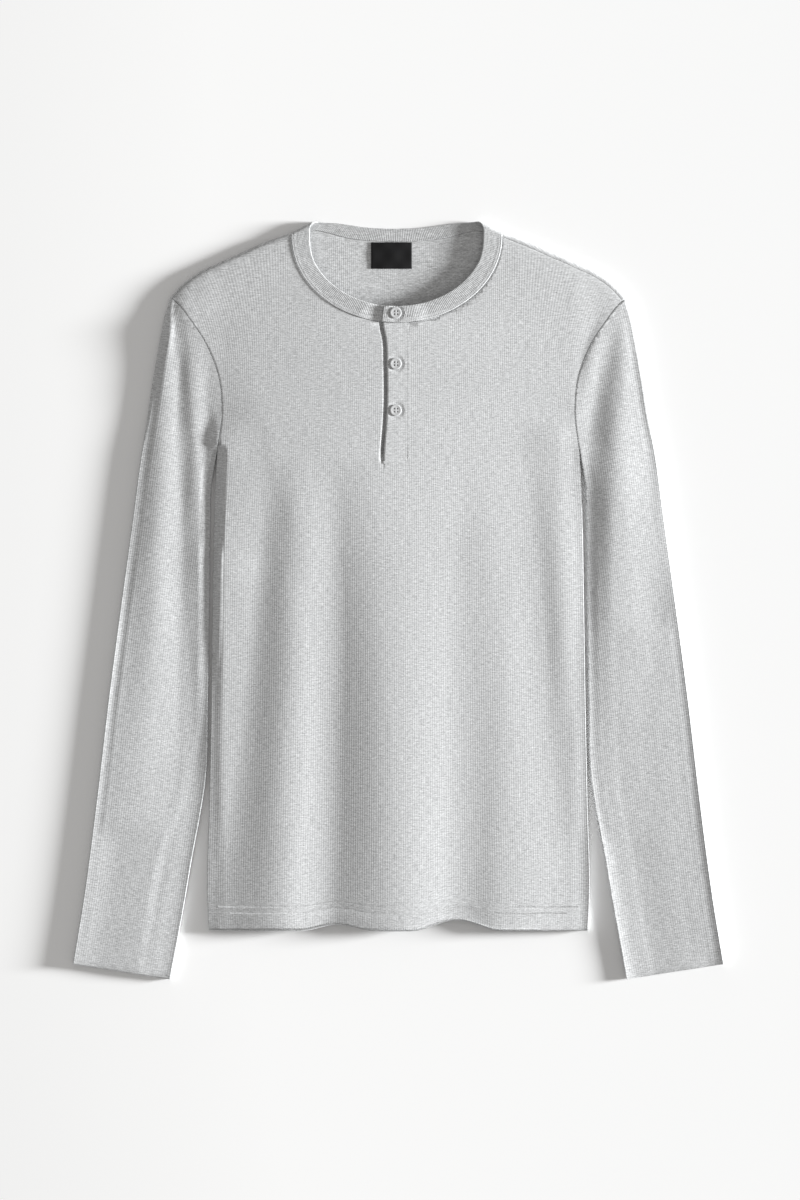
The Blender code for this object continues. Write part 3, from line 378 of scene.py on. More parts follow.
# Round the back of the neck from the right shoulder to the middle: share of the way, place across the fold,
# wrap
BACK_NECKLINE = (
    (0.000, NECK_Q, SEAM_FORWARD), (0.034, NECK_Q - 0.0008, 0.0010), (0.044, NECK_Q - 0.0011, 0.0),
    (0.054, NECK_Q - 0.0014, -0.0010), (0.090, NECK_Q - 0.0030, -0.0045), (0.170, NECK_Q - 0.0110, -0.0068),
    (0.300, 0.0830, -0.0092), (0.500, 0.0560, -0.0172), (0.740, 0.0285, -0.0211), (1.000, 0.0000, -0.0223),
)
BAND_TOP = (
    (0.000, 0.0912, 0.0098), (0.040, 0.0893, 0.0062), (0.070, 0.0874, 0.0038), (0.105, 0.0848, 0.0017),
    (0.150, 0.0812, 0.0002), (0.200, 0.0772, -0.0009), (0.300, 0.0700, -0.0024), (0.500, 0.0485, -0.0052),
    (0.740, 0.0250, -0.0082), (1.000, 0.0000, -0.0092),
)


def round_places(rows, shares):
    """(q, wrap) round the back of the neck at shares from 0 at the right shoulder to 2 at the left."""
    keys, qs, wraps = np.array(rows).T
    half = np.where(shares > 1.0, 2.0 - shares, shares)
    q = curve_through(keys, qs)(half)
    return np.where(shares > 1.0, -q, q), curve_through(keys, wraps)(half)


def hem_rise_front(x):
    return sum(rise * bell((x - middle) / reach) for middle, reach, rise in HEM_DIPS)


def hem_rise_back(x):
    return BACK_HEM_RISE * (1.0 - np.minimum(np.abs(x) / HEM_HALF, 1.0) ** 6)


# The skin


def outline_lines():
    """The rounded outline as polylines in plan, with the shirt on the left of each."""
    lines = []
    for half, low, end in ((body_half, HEM_Y, UNDERARM), (sleeve_inner_half, CUFF_INNER_Y, UNDERARM),
                           (sleeve_outer_half, CUFF_OUTER_Y, TIP)):
        y = np.arange(low - 0.03, end[1], 0.006)
        lines.append(np.append(paired(half(y), y), [end], axis=0))
    body, inner, outer = lines
    top = fold_place(np.linspace(-SHOULDER_TIP, SHOULDER_TIP, 90))[0]
    return [body, inner[::-1], outer, top[::-1], body[::-1] * MIRROR, inner * MIRROR, outer[::-1] * MIRROR]


LINES = outline_lines()
STARTS = np.concatenate([line[:-1] for line in LINES])
SPANS = np.concatenate([line[1:] for line in LINES]) - STARTS
SPAN_INWARDS = to_left(SPANS) / np.sqrt((SPANS**2).sum(1))[:, None]


def nearest(places, starts, spans):
    """How far places are from the nearest of many spans, the way there in plan, and which span it is."""
    x, y = (places[:, axis, None] - starts[:, axis] for axis in (0, 1))
    share = np.clip((x * spans[:, 0] + y * spans[:, 1]) / np.maximum((spans**2).sum(1), 1e-18), 0.0, 1.0)
    x -= share * spans[:, 0]
    y -= share * spans[:, 1]
    squares = x * x + y * y
    span = squares.argmin(1)
    rows = np.arange(len(span))
    return np.sqrt(squares[rows, span]), paired(x[rows, span], y[rows, span]), span


def outline_distance(places):
    """How far each place in plan is inside the outline, and the direction there that leads away from the
    outline."""
    found = []
    for chunk in chunks(len(places)):
        distance, way, span = nearest(places[chunk], STARTS, SPANS)
        on_line = distance < 2e-5
        away = np.where(on_line[:, None], SPAN_INWARDS[span], way / np.maximum(distance, 1e-9)[:, None])
        found.append((np.where(on_line, 0.0, distance), away))
    return joined(found)


def fold_rise(curves, x, y):
    crest, left, right, rise, first, last = curves
    reach = np.where(x < crest(-y), np.interp(-y, *left), np.interp(-y, *right))
    end = smooth((first + FOLD_END - y) / FOLD_END)
    if last > LOW_END:
        end *= smooth((y - last + FOLD_END) / FOLD_END)
    return np.maximum(rise(-y), 0.0) * end * bell((x - crest(-y)) / reach)


def placket_rise(x, y):
    """How the cloth rises to the top strip's open edge from both sides, and less so below the placket's
    end."""
    off = x - slit_x(y)
    reach = np.where(off < 0.0, LEFT_REACH, raise_reach(y))
    step = np.where(off < 0.0, OPENING_STEP, 0.0) * smooth(-off / 0.003) * smooth((y - PLACKET_END_Y) / 0.012)
    away = bell(off / reach) * (1.0 - step)
    return raise_height(y) * away * smooth((y - 0.045) / 0.05) * smooth((0.345 - y) / 0.05)


def crown_height(x, y, distance):
    """How much higher the upper layer lies than the rounded edge: the loft of the cloth and its folds."""
    share = np.minimum(distance / EDGE_REACH, 1.0)
    to_sleeve = smooth((np.abs(x) - 0.172) / 0.030)
    loft = body_loft(y) * (1.0 - to_sleeve) + np.where(x < 0.0, left_loft(y), right_loft(y)) * to_sleeve
    folds = sum(fold_rise(curves, x, y) for curves in FOLD_CURVES) + placket_rise(x, y)
    return (loft - 2.0 * EDGE_HEIGHT) * share * (2.0 - share) + folds * smooth(distance / FOLD_FADE)


def past_inner(x, y):
    """How far out of the sleeve's inner edge a place is."""
    return np.abs(x) - sleeve_inner_half(np.minimum(y, UNDERARM_Y))


def edge_height(x, y):
    """The height of the rounded fold's middle: the sleeves lie thinner beside the body than elsewhere, and
    the body's left side a little thinner."""
    gap = past_inner(x, y)
    beside = np.where(gap > BESIDE, smooth(1.0 - gap / INNER_REACH), 0.0)
    from_side = body_half(np.minimum(y, UNDERARM_Y)) - np.abs(x)
    side = np.where((x < 0.0) & (gap < BESIDE), near(from_side, SIDE_REACH) ** 2, 0.0)
    return EDGE_HEIGHT - (INNER_DROP * beside + SIDE_DROP * side) * smooth((UNDERARM_Y - y) / 0.06)


def skin(places, layer, inside=None):
    """The outer face of the cloth at places in plan, on the upper layer (1) or the lower (-1): points and
    normals. inside gives the distance from the outline and its direction where they are known."""
    upper = np.broadcast_to(layer, len(places)) > 0
    distance, away = outline_distance(places)
    if inside is not None:
        known = ~np.isnan(inside[0])
        distance[known] = inside[0][known]
        away[known] = inside[1][known]
    x, y = places.T
    edge = edge_height(x, y)
    gap = past_inner(x, y)
    faces_right = np.where(x > 0.0, gap < BESIDE, (gap > BESIDE) & (gap < INNER_REACH))
    press = 1.0 - (1.0 - np.where(faces_right, RIGHT_PRESS, EDGE_PRESS)) * smooth((0.20 - y) / 0.06)
    turn = np.arccos(1.0 - np.minimum(distance / (edge * press), 1.0))
    sign = np.where(upper, 1.0, -1.0)
    crown = np.where(upper, crown_height(x, y, distance), 0.0)
    height = edge * (1.0 + sign * np.sin(turn)) + crown
    normal = np.column_stack([-away * np.cos(turn)[:, None], sign * press * np.sin(turn)])
    for axis in (0, 1):
        ends = []
        for way in (1.0, -1.0):
            step = np.zeros(2)
            step[axis] = way * SLOPE_STEP
            x, y = (places + step).T
            further = np.maximum(distance + way * SLOPE_STEP * away[:, axis], 0.0)
            ends.append(crown_height(x, y, further) + 2.0 * edge_height(x, y))
        slope = (ends[0] - ends[1]) / (2.0 * SLOPE_STEP)
        normal[:, axis] -= np.where(upper, slope * press * np.sin(turn), 0.0)
    return np.column_stack([places, height]), unit(normal)


def over_fold(q, wrap):
    """The outer face at the place q across the top fold, and wrap over it: below 0 on the lower layer."""
    spots, inward = fold_place(q)
    distance = np.abs(wrap)
    return skin(spots + inward * distance[:, None], np.where(wrap > 0.0, 1.0, -1.0), (distance, inward))


def edge_plan(arc):
    """How far inside the outline in plan a place is that lies the length arc from it over the rounded
    fold."""
    round_part = EDGE_HEIGHT * (1.0 - np.cos(np.minimum(arc, QUARTER) / EDGE_HEIGHT))
    return np.where(arc < QUARTER, round_part, arc - QUARTER + EDGE_HEIGHT)


# Nets and shells


def spaced(line, du, dv):
    """A line in a panel's coordinates at the net's spacing: its points, and how far along it each is, from
    0 to 1."""
    line = np.asarray(line, float)
    along = np.append(0.0, np.cumsum(np.hypot(*(np.diff(line, axis=0) / (du, dv)).T)))
    marks = np.linspace(0.0, along[-1], max(1, math.ceil(along[-1])) + 1)
    share = np.interp(marks, along, np.linspace(0.0, 1.0, len(line)))
    return paired(*(np.interp(marks, along, column) for column in line.T)), share


def inside_outline(points, outline):
    """Whether each point lies in a closed outline."""
    ahead = np.roll(outline, -1, axis=0)
    found = []
    for chunk in chunks(len(points)):
        x, y = (points[chunk, axis, None] for axis in (0, 1))
        spans = (outline[:, 0] <= x) != (ahead[:, 0] <= x)
        run = np.where(ahead[:, 0] == outline[:, 0], 1.0, ahead[:, 0] - outline[:, 0])
        level = outline[:, 1] + (x - outline[:, 0]) / run * (ahead[:, 1] - outline[:, 1])
        found.append(((level > y) & spans).sum(1) % 2 == 1)
    return np.concatenate(found)


def lattice(outline, du, dv, clear):
    """The places of a regular net inside an outline, and at least clear from it. All are in net spacings."""
    low = np.floor(outline.min(0)).astype(int) - 1
    size = np.ceil(outline.max(0)).astype(int) + 2 - low
    held = np.zeros(size, bool)
    ahead = np.roll(outline, -1, axis=0)
    rows = np.arange(size[1]) + low[1]
    for column in range(size[0]):
        x = column + low[0] + 1e-7
        spans = (outline[:, 0] <= x) != (ahead[:, 0] <= x)
        start, end = outline[spans], ahead[spans]
        levels = np.sort(start[:, 1] + (x - start[:, 0]) / (end[:, 0] - start[:, 0])
                         * (end[:, 1] - start[:, 1]))
        held[column] = np.searchsorted(levels, rows) % 2 == 1
    reach = math.ceil(max(clear / du, 1.0))
    base = np.round(outline).astype(int)
    for across in range(-reach, reach + 1):
        for up in (-1, 0, 1):
            spot = base + (across, up)
            gap = (spot - outline) * (du, dv)
            close = (np.hypot(*gap.T) < clear) | (np.hypot(*(spot - outline).T) < 0.45)
            index = np.clip(spot[close] - low, 0, size - 1)
            held[index[:, 0], index[:, 1]] = False
    return np.argwhere(held) + low


def net(lines, du, dv, clear=0.0, extra=(), finer=(), stretch=None):
    """A triangle net inside closed lines: places in the panel's coordinates, triangles, and for each line the
    indices of its places and how far along it they are. extra holds further lines, and finer further places.
    stretch pulls parts of the panel long where its net is finer along the ribs."""
    sections = [spaced(line, du, dv) for line in lines]
    outline = np.concatenate([points[:-1] for points, _ in sections])
    scale = np.array([du, dv])
    grid = lattice(outline / scale, du, dv, clear) * scale
    if stretch:
        grid = grid[np.abs(stretch(grid) - grid).sum(1) == 0.0]
    further = [spaced(line, du, dv)[0] for line in extra]
    if len(finer):
        further.append(finer)
    places = np.concatenate([outline, grid, *(part[inside_outline(part, outline)] for part in further)])
    even = stretch(places) if stretch else places
    flat = [Vector(place) for place in (even / scale).tolist()]
    made = delaunay_2d_cdt(flat, [], [list(range(len(outline)))], 1, 1e-5)
    first = np.array([sources[0] for sources in made[3]])
    where = np.full(len(places), -1)
    for new, sources in enumerate(made[3]):
        where[sources] = new
    marks = []
    start = 0
    for points, share in sections:
        ids = (start + np.arange(len(points))) % len(outline)
        marks.append((where[ids], share))
        start += len(points) - 1
    return places[first], [tuple(face) for face in made[2]], marks


def bridge(outer, inner, offset):
    """Triangles between two rows of points, each given as its indices and how far along they are."""
    outer_ids, outer_share = outer
    inner_ids, inner_share = inner
    faces = []
    i = j = 0
    while i < len(outer_ids) - 1 or j < len(inner_ids) - 1:
        outer_next = outer_share[i + 1] if i < len(outer_ids) - 1 else 2.0
        inner_next = inner_share[j + 1] if j < len(inner_ids) - 1 else 2.0
        if outer_next <= inner_next:
            faces.append((outer_ids[i + 1], outer_ids[i], inner_ids[j] + offset))
            i += 1
        else:
            faces.append((outer_ids[i], inner_ids[j] + offset, inner_ids[j + 1] + offset))
            j += 1
    return faces


def piece(name, points, faces, cloth, material, smooth_angle=62.0):
    """A mesh object. cloth gives each point's place across and along the ribs."""
    faces = [face for face in faces if len(set(face)) == len(face)]
    used = np.unique([corner for face in faces for corner in face])
    renumber = np.full(len(points), -1)
    renumber[used] = np.arange(len(used))
    mesh = bpy.data.meshes.new(name)
    mesh.from_pydata(points[used].tolist(), [], [tuple(renumber[list(face)].tolist()) for face in faces])
    mesh.materials.append(material)
    mesh.shade_smooth()
    mesh.set_sharp_from_angle(angle=math.radians(smooth_angle))
    attribute = mesh.attributes.new("cloth", "FLOAT_VECTOR", "POINT")
    attribute.data.foreach_set("vector", np.asarray(cloth, np.float32)[used].ravel())
    return linked(name, mesh)


def linked(name, data):
    obj = bpy.data.objects.new(name, data)
    bpy.context.scene.collection.objects.link(obj)
    return obj


def volume(points, faces):
    a, b, c = (points[np.array([face[i] for face in faces])] for i in range(3))
    return (np.cross(a, b) * c).sum()


def shell(name, nets, material, weld=()):
    """A closed wall of cloth between an outer and an inner net over the same lines. Each is (points,
    faces, marks, cloth places). weld names two lines that lie on each other."""
    count = len(nets[0][0])
    for index, (points, faces, marks, cloth) in enumerate(nets):
        to = np.arange(len(points))
        if weld:
            one, other = weld
            for a, b in zip(marks[one][0], marks[other][0][::-1]):
                to[b] = a
            faces = [tuple(to[corner] for corner in face) for face in faces]
            marks = [(to[ids], share) for ids, share in marks]
        nets[index] = (points, faces, marks, cloth)
    points, cloth = (np.concatenate([net_parts[part] for net_parts in nets]) for part in (0, 3))
    faces = list(nets[0][1]) + [tuple(corner + count for corner in reversed(face)) for face in nets[1][1]]
    for line, (one, other) in enumerate(zip(nets[0][2], nets[1][2])):
        if line not in weld:
            faces += bridge(one, other, count)
    if volume(points, faces) < 0.0:
        faces = [tuple(reversed(face)) for face in faces]
    return piece(name, points, faces, cloth, material)


def build_panel(name, lines, material, part, face, relief, thickness, clear, extra, inner_extra=(), finer=(),
                rows=(ROW, 2.0 * ROW), stretch=None, weld=()):
    """A panel of cloth: a fine net outside with its relief, and a coarser one inside a wall's thickness
    under it."""
    nets = []
    for du, dv, gap, more, fine, off in ((COLUMN, rows[0], clear, extra, (), relief),
                                         (RIB, rows[1], 0.0, inner_extra, finer,
                                          lambda *at: -thickness(*at))):
        places, faces, marks = net(lines, du, dv, gap, more, fine, stretch)
        points, normals = face(places)
        points += normals * np.broadcast_to(off(places), len(places))[:, None]
        nets.append((points, faces, marks, cloth_places(*places.T, part)))
    return shell(name, nets, material, weld)


def ribs(r, pitch, depth):
    """How deep the cloth's face lies under the ribs' crests."""
    return depth * (np.abs(np.sin(math.pi * r / pitch)) ** 0.8 - 1.0)


def cloth_places(across, along, part):
    """Places for the material: across the ribs, along them, and a number that sets the parts' patterns
    apart."""
    return np.column_stack([across, along, np.full(len(across), part)])


# The body panels


# what the rounded fold at the side adds to the cloth's width
ROUND_GAIN = (0.5 * math.pi - 1.0) * EDGE_HEIGHT
BEND = 0.024  # how much the ribs bend outwards below the shoulders, and from which height
BEND_FROM = 0.215


def body_x(r, v):
    """Where the rib r runs at the height v."""
    a = np.abs(r)
    fold = 1.0 - smooth((v - 0.06) / 0.086)
    from_side = np.maximum(SIDE_R - a, 0.0)
    gain = from_side - edge_plan(from_side) - ROUND_GAIN * (1.0 - np.minimum(a / SIDE_R, 1.0))
    bend = BEND * smooth((a - 0.115) / 0.11) * (np.maximum(v - BEND_FROM, 0.0) / 0.085) ** 2
    return np.sign(r) * (a * cloth_half(v) / SIDE_R + fold * gain + bend)


def to_cloth(places):
    """The panel's coordinates of places in plan above the hem."""
    x, v = np.asarray(places, float).T
    r = x.copy()
    for _ in range(30):
        r += 0.8 * (x - body_x(r, v))
    return paired(r, v)


def body_places(places, hem_rise):
    r, v = places.T
    x = body_x(r, v)
    return paired(x, v + hem_rise(x) * np.exp(-(v - HEM_Y) / HEM_FADE))


def body_face(places, layer, hem_rise):
    """The outer face of the front (1) or the back (-1), with the fold at the body's sides where it is
    known to be."""
    r, v = places.T
    on_side = (np.abs(np.abs(r) - SIDE_R) < 1e-6) & (v <= UNDERARM_Y + 1e-6)
    inside = np.where(on_side, 0.0, np.nan), paired(-np.sign(r), 0.0)
    points, normals = skin(body_places(places, hem_rise), layer, inside)
    points[on_side, 2] += layer * SEAM_GAP / 2
    return points, normals


def offset_inside(line, off):
    """A line moved to its left by off."""
    line = np.asarray(line, float)
    return line + off * to_left(unit(np.gradient(line, axis=0)))


def beside_seams(lines, offs=SEAM_ROWS):
    return [offset_inside(line, off) for line in lines for off in offs]


def columns_within(half):
    """The net's columns from -half to half."""
    return np.arange(math.ceil(-half / COLUMN), math.floor(half / COLUMN) + 1) * COLUMN


def across_lines(heights):
    """Rows of the net at heights over the hem."""
    return [paired(columns_within(SIDE_R), HEM_Y + height) for height in heights]


def edge_drop(over):
    """How the edge of a hem or a cuff rounds off."""
    return 0.0005 * near(over, HEM_ROWS[1]) ** 2


def seam_relief(places, lines, drops):
    """How the cloth dips into the seams, by the share of the dip that each has, and the share of the ribs'
    relief beside them. The lines are dense."""
    distance = np.full(len(places), SEAM_NEAR)
    dip = np.zeros(len(places))
    for line, share in zip(lines, drops):
        close = np.flatnonzero(((places > line.min(0) - SEAM_NEAR)
                                & (places < line.max(0) + SEAM_NEAR)).all(1))
        for chunk in chunks(len(close)):
            ids = close[chunk]
            gap = nearest(places[ids], line[:-1], np.diff(line, axis=0))[0]
            distance[ids] = np.minimum(distance[ids], gap)
            dip[ids] = np.maximum(dip[ids], share * near(gap, SEAM_ROWS[0]))
    return SEAM_DROP * dip, smooth((distance - 0.0015) / (SEAM_NEAR - 0.0015))


def body_relief(seams, drops):
    """The relief of a body panel: its ribs, flat at the seams, the edge and the stitches, and the dips
    there."""

    def relief(places):
        r, v = places.T
        over = v - HEM_Y
        share, drop = smooth(over / 0.005), edge_drop(over)
        for row in STITCH_ROWS:
            share = share * (0.25 + 0.75 * smooth((np.abs(over - row) - STITCH_SIDE) / 0.003))
            drop += STITCH_DIP * np.exp(-(((over - row) / 0.0007) ** 2))
        dip, beside = seam_relief(places, seams, drops)
        return ribs(r, RIB, RIB_DEPTH) * beside * share - dip - drop

    return relief


def hem_wall(places):
    """The wall of a body panel, which is double at the hem."""
    return np.where(places[:, 1] - HEM_Y <= HEM_DEPTH + 1e-6, 2.0 * WALL, WALL)


def panel_outline(upper):
    """A body panel's outline: the hem, the right side, the lines from the right underarm to the left, the
    left side."""
    low, high = np.array([(SIDE_R, HEM_Y), (SIDE_R, UNDERARM_Y)])
    return [np.array([low * MIRROR, low]), np.array([low, high]), *upper,
            np.array([high * MIRROR, low * MIRROR])]


def slit_dip(x, y):
    """How the left front and the under strip dip at the open edge, into a furrow that the top strip
    shades."""
    beside = smooth(1.0 - (slit_x(y) - 0.0008 - x) / SLIT_REACH)
    return SLIT_DIP * beside * smooth((y - PLACKET_END_Y) / 0.006)


def button_dip(x, y):
    """How the buttons sit in the soft cloth."""
    gap = np.min([np.hypot(x - BUTTON_X, y - middle) for middle in BUTTON_YS], axis=0)
    return BUTTON_DIP * (1.0 - smooth((gap - BUTTON_RADIUS - 0.0002) / 0.0035))


def front_lines():
    """The front's outline in its own coordinates, anticlockwise, from the left end of the hem."""
    q = np.linspace(SHOULDER_TIP, NECK_Q, DENSE)
    right_shoulder, left_shoulder = (from_fold(part, seam_wrap(part) + SEAM_GAP / 2)
                                     for part in (q, -q[::-1]))
    right_arm, left_arm = (
        armhole_places(side, np.linspace(0.0, ARMHOLE_LENGTH - seam_wrap(side * SHOULDER_TIP), DENSE),
                       -SEAM_GAP / 2)
        for side in (1, -1)
    )
    left_arm = left_arm[::-1]
    neck_right, neck_left = (
        neck_front(np.linspace(*angles, DENSE), SEAM_GAP / 2)
        for angles in ((0.0, neck_angle(PLACKET_RIGHT)), (neck_angle(float(slit_x(0.29)) + LIP), math.pi))
    )
    right_shoulder[0], right_shoulder[-1] = right_arm[-1], neck_right[0]
    left_shoulder[-1], left_shoulder[0] = left_arm[0], neck_left[-1]
    ys = np.linspace(PLACKET_END_Y, neck_left[0, 1], DENSE)
    lip = paired(slit_x(ys) + LIP, ys)
    lip[-1] = neck_left[0]
    opening = np.array([neck_right[-1], (PLACKET_RIGHT, PLACKET_END_Y)])
    bottom = paired(np.linspace(PLACKET_RIGHT, lip[0, 0], 30), PLACKET_END_Y)
    upper = [to_cloth(line) for line in
             (right_arm, right_shoulder, neck_right, opening, bottom, lip, neck_left, left_shoulder,
              left_arm)]
    upper[0][0] = (SIDE_R, UNDERARM_Y)
    upper[-1][-1] = (-SIDE_R, UNDERARM_Y)
    return panel_outline(upper)


def front_face(places):
    """The front's outer face, with the furrow beside the top strip's open edge on its left side only."""
    points, normals = body_face(places, 1.0, hem_rise_front)
    x, y = points[:, :2].T
    left = x < 0.5 * (slit_x(y) + PLACKET_RIGHT)
    points[:, 2] -= np.where(left & (y > PLACKET_END_Y), slit_dip(x, y), 0.0)
    return points, normals


def build_front(material):
    lines = front_lines()
    seams = lines[2:5] + lines[8:11]
    return build_panel("front_knit", lines, material, 0.0, front_face, body_relief(seams, FRONT_DROPS),
                       hem_wall,
                       0.0024, [*beside_seams(seams), *across_lines(HEM_LINES)], across_lines((HEM_DEPTH,)))


# along the row where the back turns over the shoulder
STRIP_Q = np.linspace(-SHOULDER_TIP, SHOULDER_TIP, 1200)
STRIP_R, STRIP_V = to_cloth(from_fold(STRIP_Q, FOLD_BACK)).T
STRIP_ROWS = (-0.0012, 0.0012, 0.0022, 0.0031, 0.0037, 0.0042, 0.0047, 0.0052, 0.0058, 0.0065, 0.0074, 0.0084)
STRIP_STRETCH = 8.0  # the net is spaced this much finer along the ribs where it turns over the shoulder
# the part of the back's inside that shows through the neck: half-width and lowest place
NECK_VIEW = (0.118, 0.262)


def strip_v(r):
    return np.interp(r, STRIP_R, STRIP_V)


def strip_reach(r):
    """How far along the ribs the back goes past the row STRIP_V, to the shoulder seam."""
    return FOLD_BACK + seam_wrap(np.interp(r, STRIP_R, STRIP_Q)) - SEAM_GAP / 2


def stretched_strip(places):
    """The back's places with the strip over the shoulder pulled long, so that its net is even."""
    r, v = places.T
    past = np.where(v > 0.22, np.maximum(v - strip_v(r) + 0.0012, 0.0), 0.0)
    return paired(r, v + (STRIP_STRETCH - 1.0) * past)


def back_face(places):
    """The back's lower face, which goes on over the shoulders past the height STRIP_V."""
    r, v = places.T
    over = v - strip_v(r)
    on_strip = (over > 1e-7) & (np.abs(r) > np.interp(NECK_Q - 0.006, STRIP_Q, STRIP_R) - 0.02) & (v > 0.25)
    points, normals = body_face(places, -1.0, hem_rise_back)
    if on_strip.any():
        q = np.interp(r[on_strip], STRIP_R, STRIP_Q)
        points[on_strip], normals[on_strip] = over_fold(q, over[on_strip] - FOLD_BACK)
    return points, normals


def back_lines():
    """The back's outline in its own coordinates, anticlockwise, from the left end of the hem."""
    lengths = np.linspace(0.0, ARMHOLE_LENGTH - FOLD_BACK, DENSE)
    right_arm = to_cloth(armhole_places(1, lengths, -SEAM_GAP / 2))
    right_arm[0] = (SIDE_R, UNDERARM_Y)
    q, wrap = round_places(BACK_NECKLINE, np.linspace(0.09, 1.91, DENSE))
    neck = to_cloth(from_fold(q, wrap - SEAM_GAP / 2))
    halves = []
    for side in (1, -1):
        arm = right_arm * (side, 1.0)
        r_tip = side * float(np.interp(SHOULDER_TIP, STRIP_Q, side * STRIP_R[::side]))
        arm[-1] = (r_tip, strip_v(r_tip))
        r_neck, r_end = (float(np.interp(side * place, STRIP_Q, STRIP_R))
                         for place in (NECK_Q - 0.003, NECK_Q))
        end = np.array([arm[-1], [r_tip, strip_v(r_tip) + strip_reach(r_tip)]])
        r_top = np.linspace(r_tip, r_end, DENSE)
        past = np.linspace(strip_reach(r_end), 0.0, 30)
        past[-1] = 0.0
        r_side = np.linspace(r_end, r_neck, 30)
        beside = paired(r_side, strip_v(r_side) + past)
        neck[0 if side > 0 else -1] = beside[-1]
        halves.append([arm, end, paired(r_top, strip_v(r_top) + strip_reach(r_top)), beside])
    return panel_outline([*halves[0], neck, *(line[::-1] for line in reversed(halves[1]))])


def back_wall(places):
    """The back's wall, with ribs on its inside too where it shows through the neck."""
    r, v = places.T
    half, low = NECK_VIEW
    seen = smooth((half - 0.004 - np.abs(r)) / 0.004) * smooth((v - low - 0.006) / 0.006)
    return hem_wall(places) + seen * ribs(r, RIB, RIB_DEPTH)


def build_back(material):
    lines = back_lines()
    seams = lines[2:11:2]
    columns = columns_within(lines[3][0, 0])
    strip = [paired(columns, strip_v(columns) + row) for row in (*STRIP_ROWS, 0.0)]
    half, low = NECK_VIEW
    r, v = np.meshgrid(np.arange(-half, half, COLUMN), np.arange(low, 0.375, ROW), indexing="ij")
    finer = paired((np.round(r / COLUMN) * COLUMN).ravel(), v.ravel())
    return build_panel("back_knit", lines, material, 7.3, back_face,
                       body_relief(seams, (BACK_DROP,) * len(seams)),
                       back_wall, 0.0024, [*beside_seams(seams[::2]), *strip, *across_lines(HEM_LINES)],
                       [*strip[::3], *across_lines((HEM_DEPTH,))], finer, stretch=stretched_strip)


# The sleeves


def sleeve_plan(side, r, t):
    """The place in plan of a sleeve's coordinates: r from the outer fold, on the upper layer above 0, and
    t down it."""
    y = TIP_Y - t
    angle = np.radians(sleeve_lean(y))
    depth = edge_plan(np.abs(r))
    return paired(side * (sleeve_outer_half(y) - depth * np.cos(angle)), y - depth * np.sin(angle))


def to_sleeve(side, places):
    """The sleeve's coordinates of places in plan, on its upper layer."""
    x, y = np.asarray(places, float).T
    x = side * x
    depth = np.full(len(x), 0.05)
    t = TIP_Y - y
    for _ in range(60):
        angle = np.radians(sleeve_lean(TIP_Y - t))
        t = TIP_Y - (y + depth * np.sin(angle))
        depth = np.maximum((sleeve_outer_half(TIP_Y - t) - x) / np.cos(angle), 0.0)
    arc = np.where(depth < EDGE_HEIGHT, EDGE_HEIGHT * np.arccos(1.0 - np.minimum(depth / EDGE_HEIGHT, 1.0)),
                   depth - EDGE_HEIGHT + QUARTER)
    return paired(arc, t)


def sleeve_lines(side):
    """The unrolled sleeve's outline, and the rows of its net beside the inner fold."""
    lengths = np.linspace(ARMHOLE_LENGTH, 0.0, DENSE)
    arm = to_sleeve(side, armhole_places(side, lengths, SEAM_GAP / 2))
    arm[0] = (0.0, 0.0)
    ys = np.linspace(UNDERARM_Y, CUFF_INNER_Y, DENSE)
    inner_plan = paired(side * sleeve_inner_half(ys), ys)
    inner_plan[0] = armhole_places(side, lengths[-1:], SEAM_GAP / 2)[0]
    inner = to_sleeve(side, inner_plan)
    arm[-1] = inner[0]
    inner[-1, 1] = CUFF_T
    upper = [arm, inner, np.array([inner[-1], [0.0, CUFF_T]])]
    rows = [to_sleeve(side, inner_plan + (side * off, 0.0))[3:] for off in INNER_ROWS]
    return ([*upper, *((line * MIRROR)[::-1] for line in reversed(upper))],
            [part for row in rows for part in (row, row * MIRROR)])


def build_sleeve(name, side, material):
    lines, inner_rows = sleeve_lines(side)
    seams = [lines[0], lines[5]]
    columns = columns_within(lines[1][:, 0].max() + 0.01)

    def face(places):
        r, t = places.T
        return skin(sleeve_plan(side, r, t), np.where(r >= 0.0, 1.0, -1.0))

    def relief(places):
        r, t = places.T
        drop, share = seam_relief(places, seams, (0.5 + 0.5 * side,) * 2)
        x, y = sleeve_plan(side, r, t).T
        from_inner = np.where(y < UNDERARM_Y, side * x - sleeve_inner_half(y), INNER_FADE)
        share *= smooth(from_inner / INNER_FADE) * smooth((CUFF_T - t) / 0.005)
        return ribs(r, RIB, RIB_DEPTH) * share - (drop + edge_drop(CUFF_T - t))

    def thickness(places):
        return np.where(places[:, 1] > CUFF_T - CUFF_DEPTH, 2.0 * WALL, WALL)

    extra = [*beside_seams(seams, (-SEAM_ROWS[0], -SEAM_ROWS[1], *SEAM_ROWS)), *inner_rows,
             *(paired(columns, CUFF_T - row) for row in HEM_ROWS)]
    return build_panel(name, lines, material, 15.1 + side, face, relief, thickness, 0.0012, extra,
                       inner_rows[2:4],
                       weld=(1, 4))


# Materials


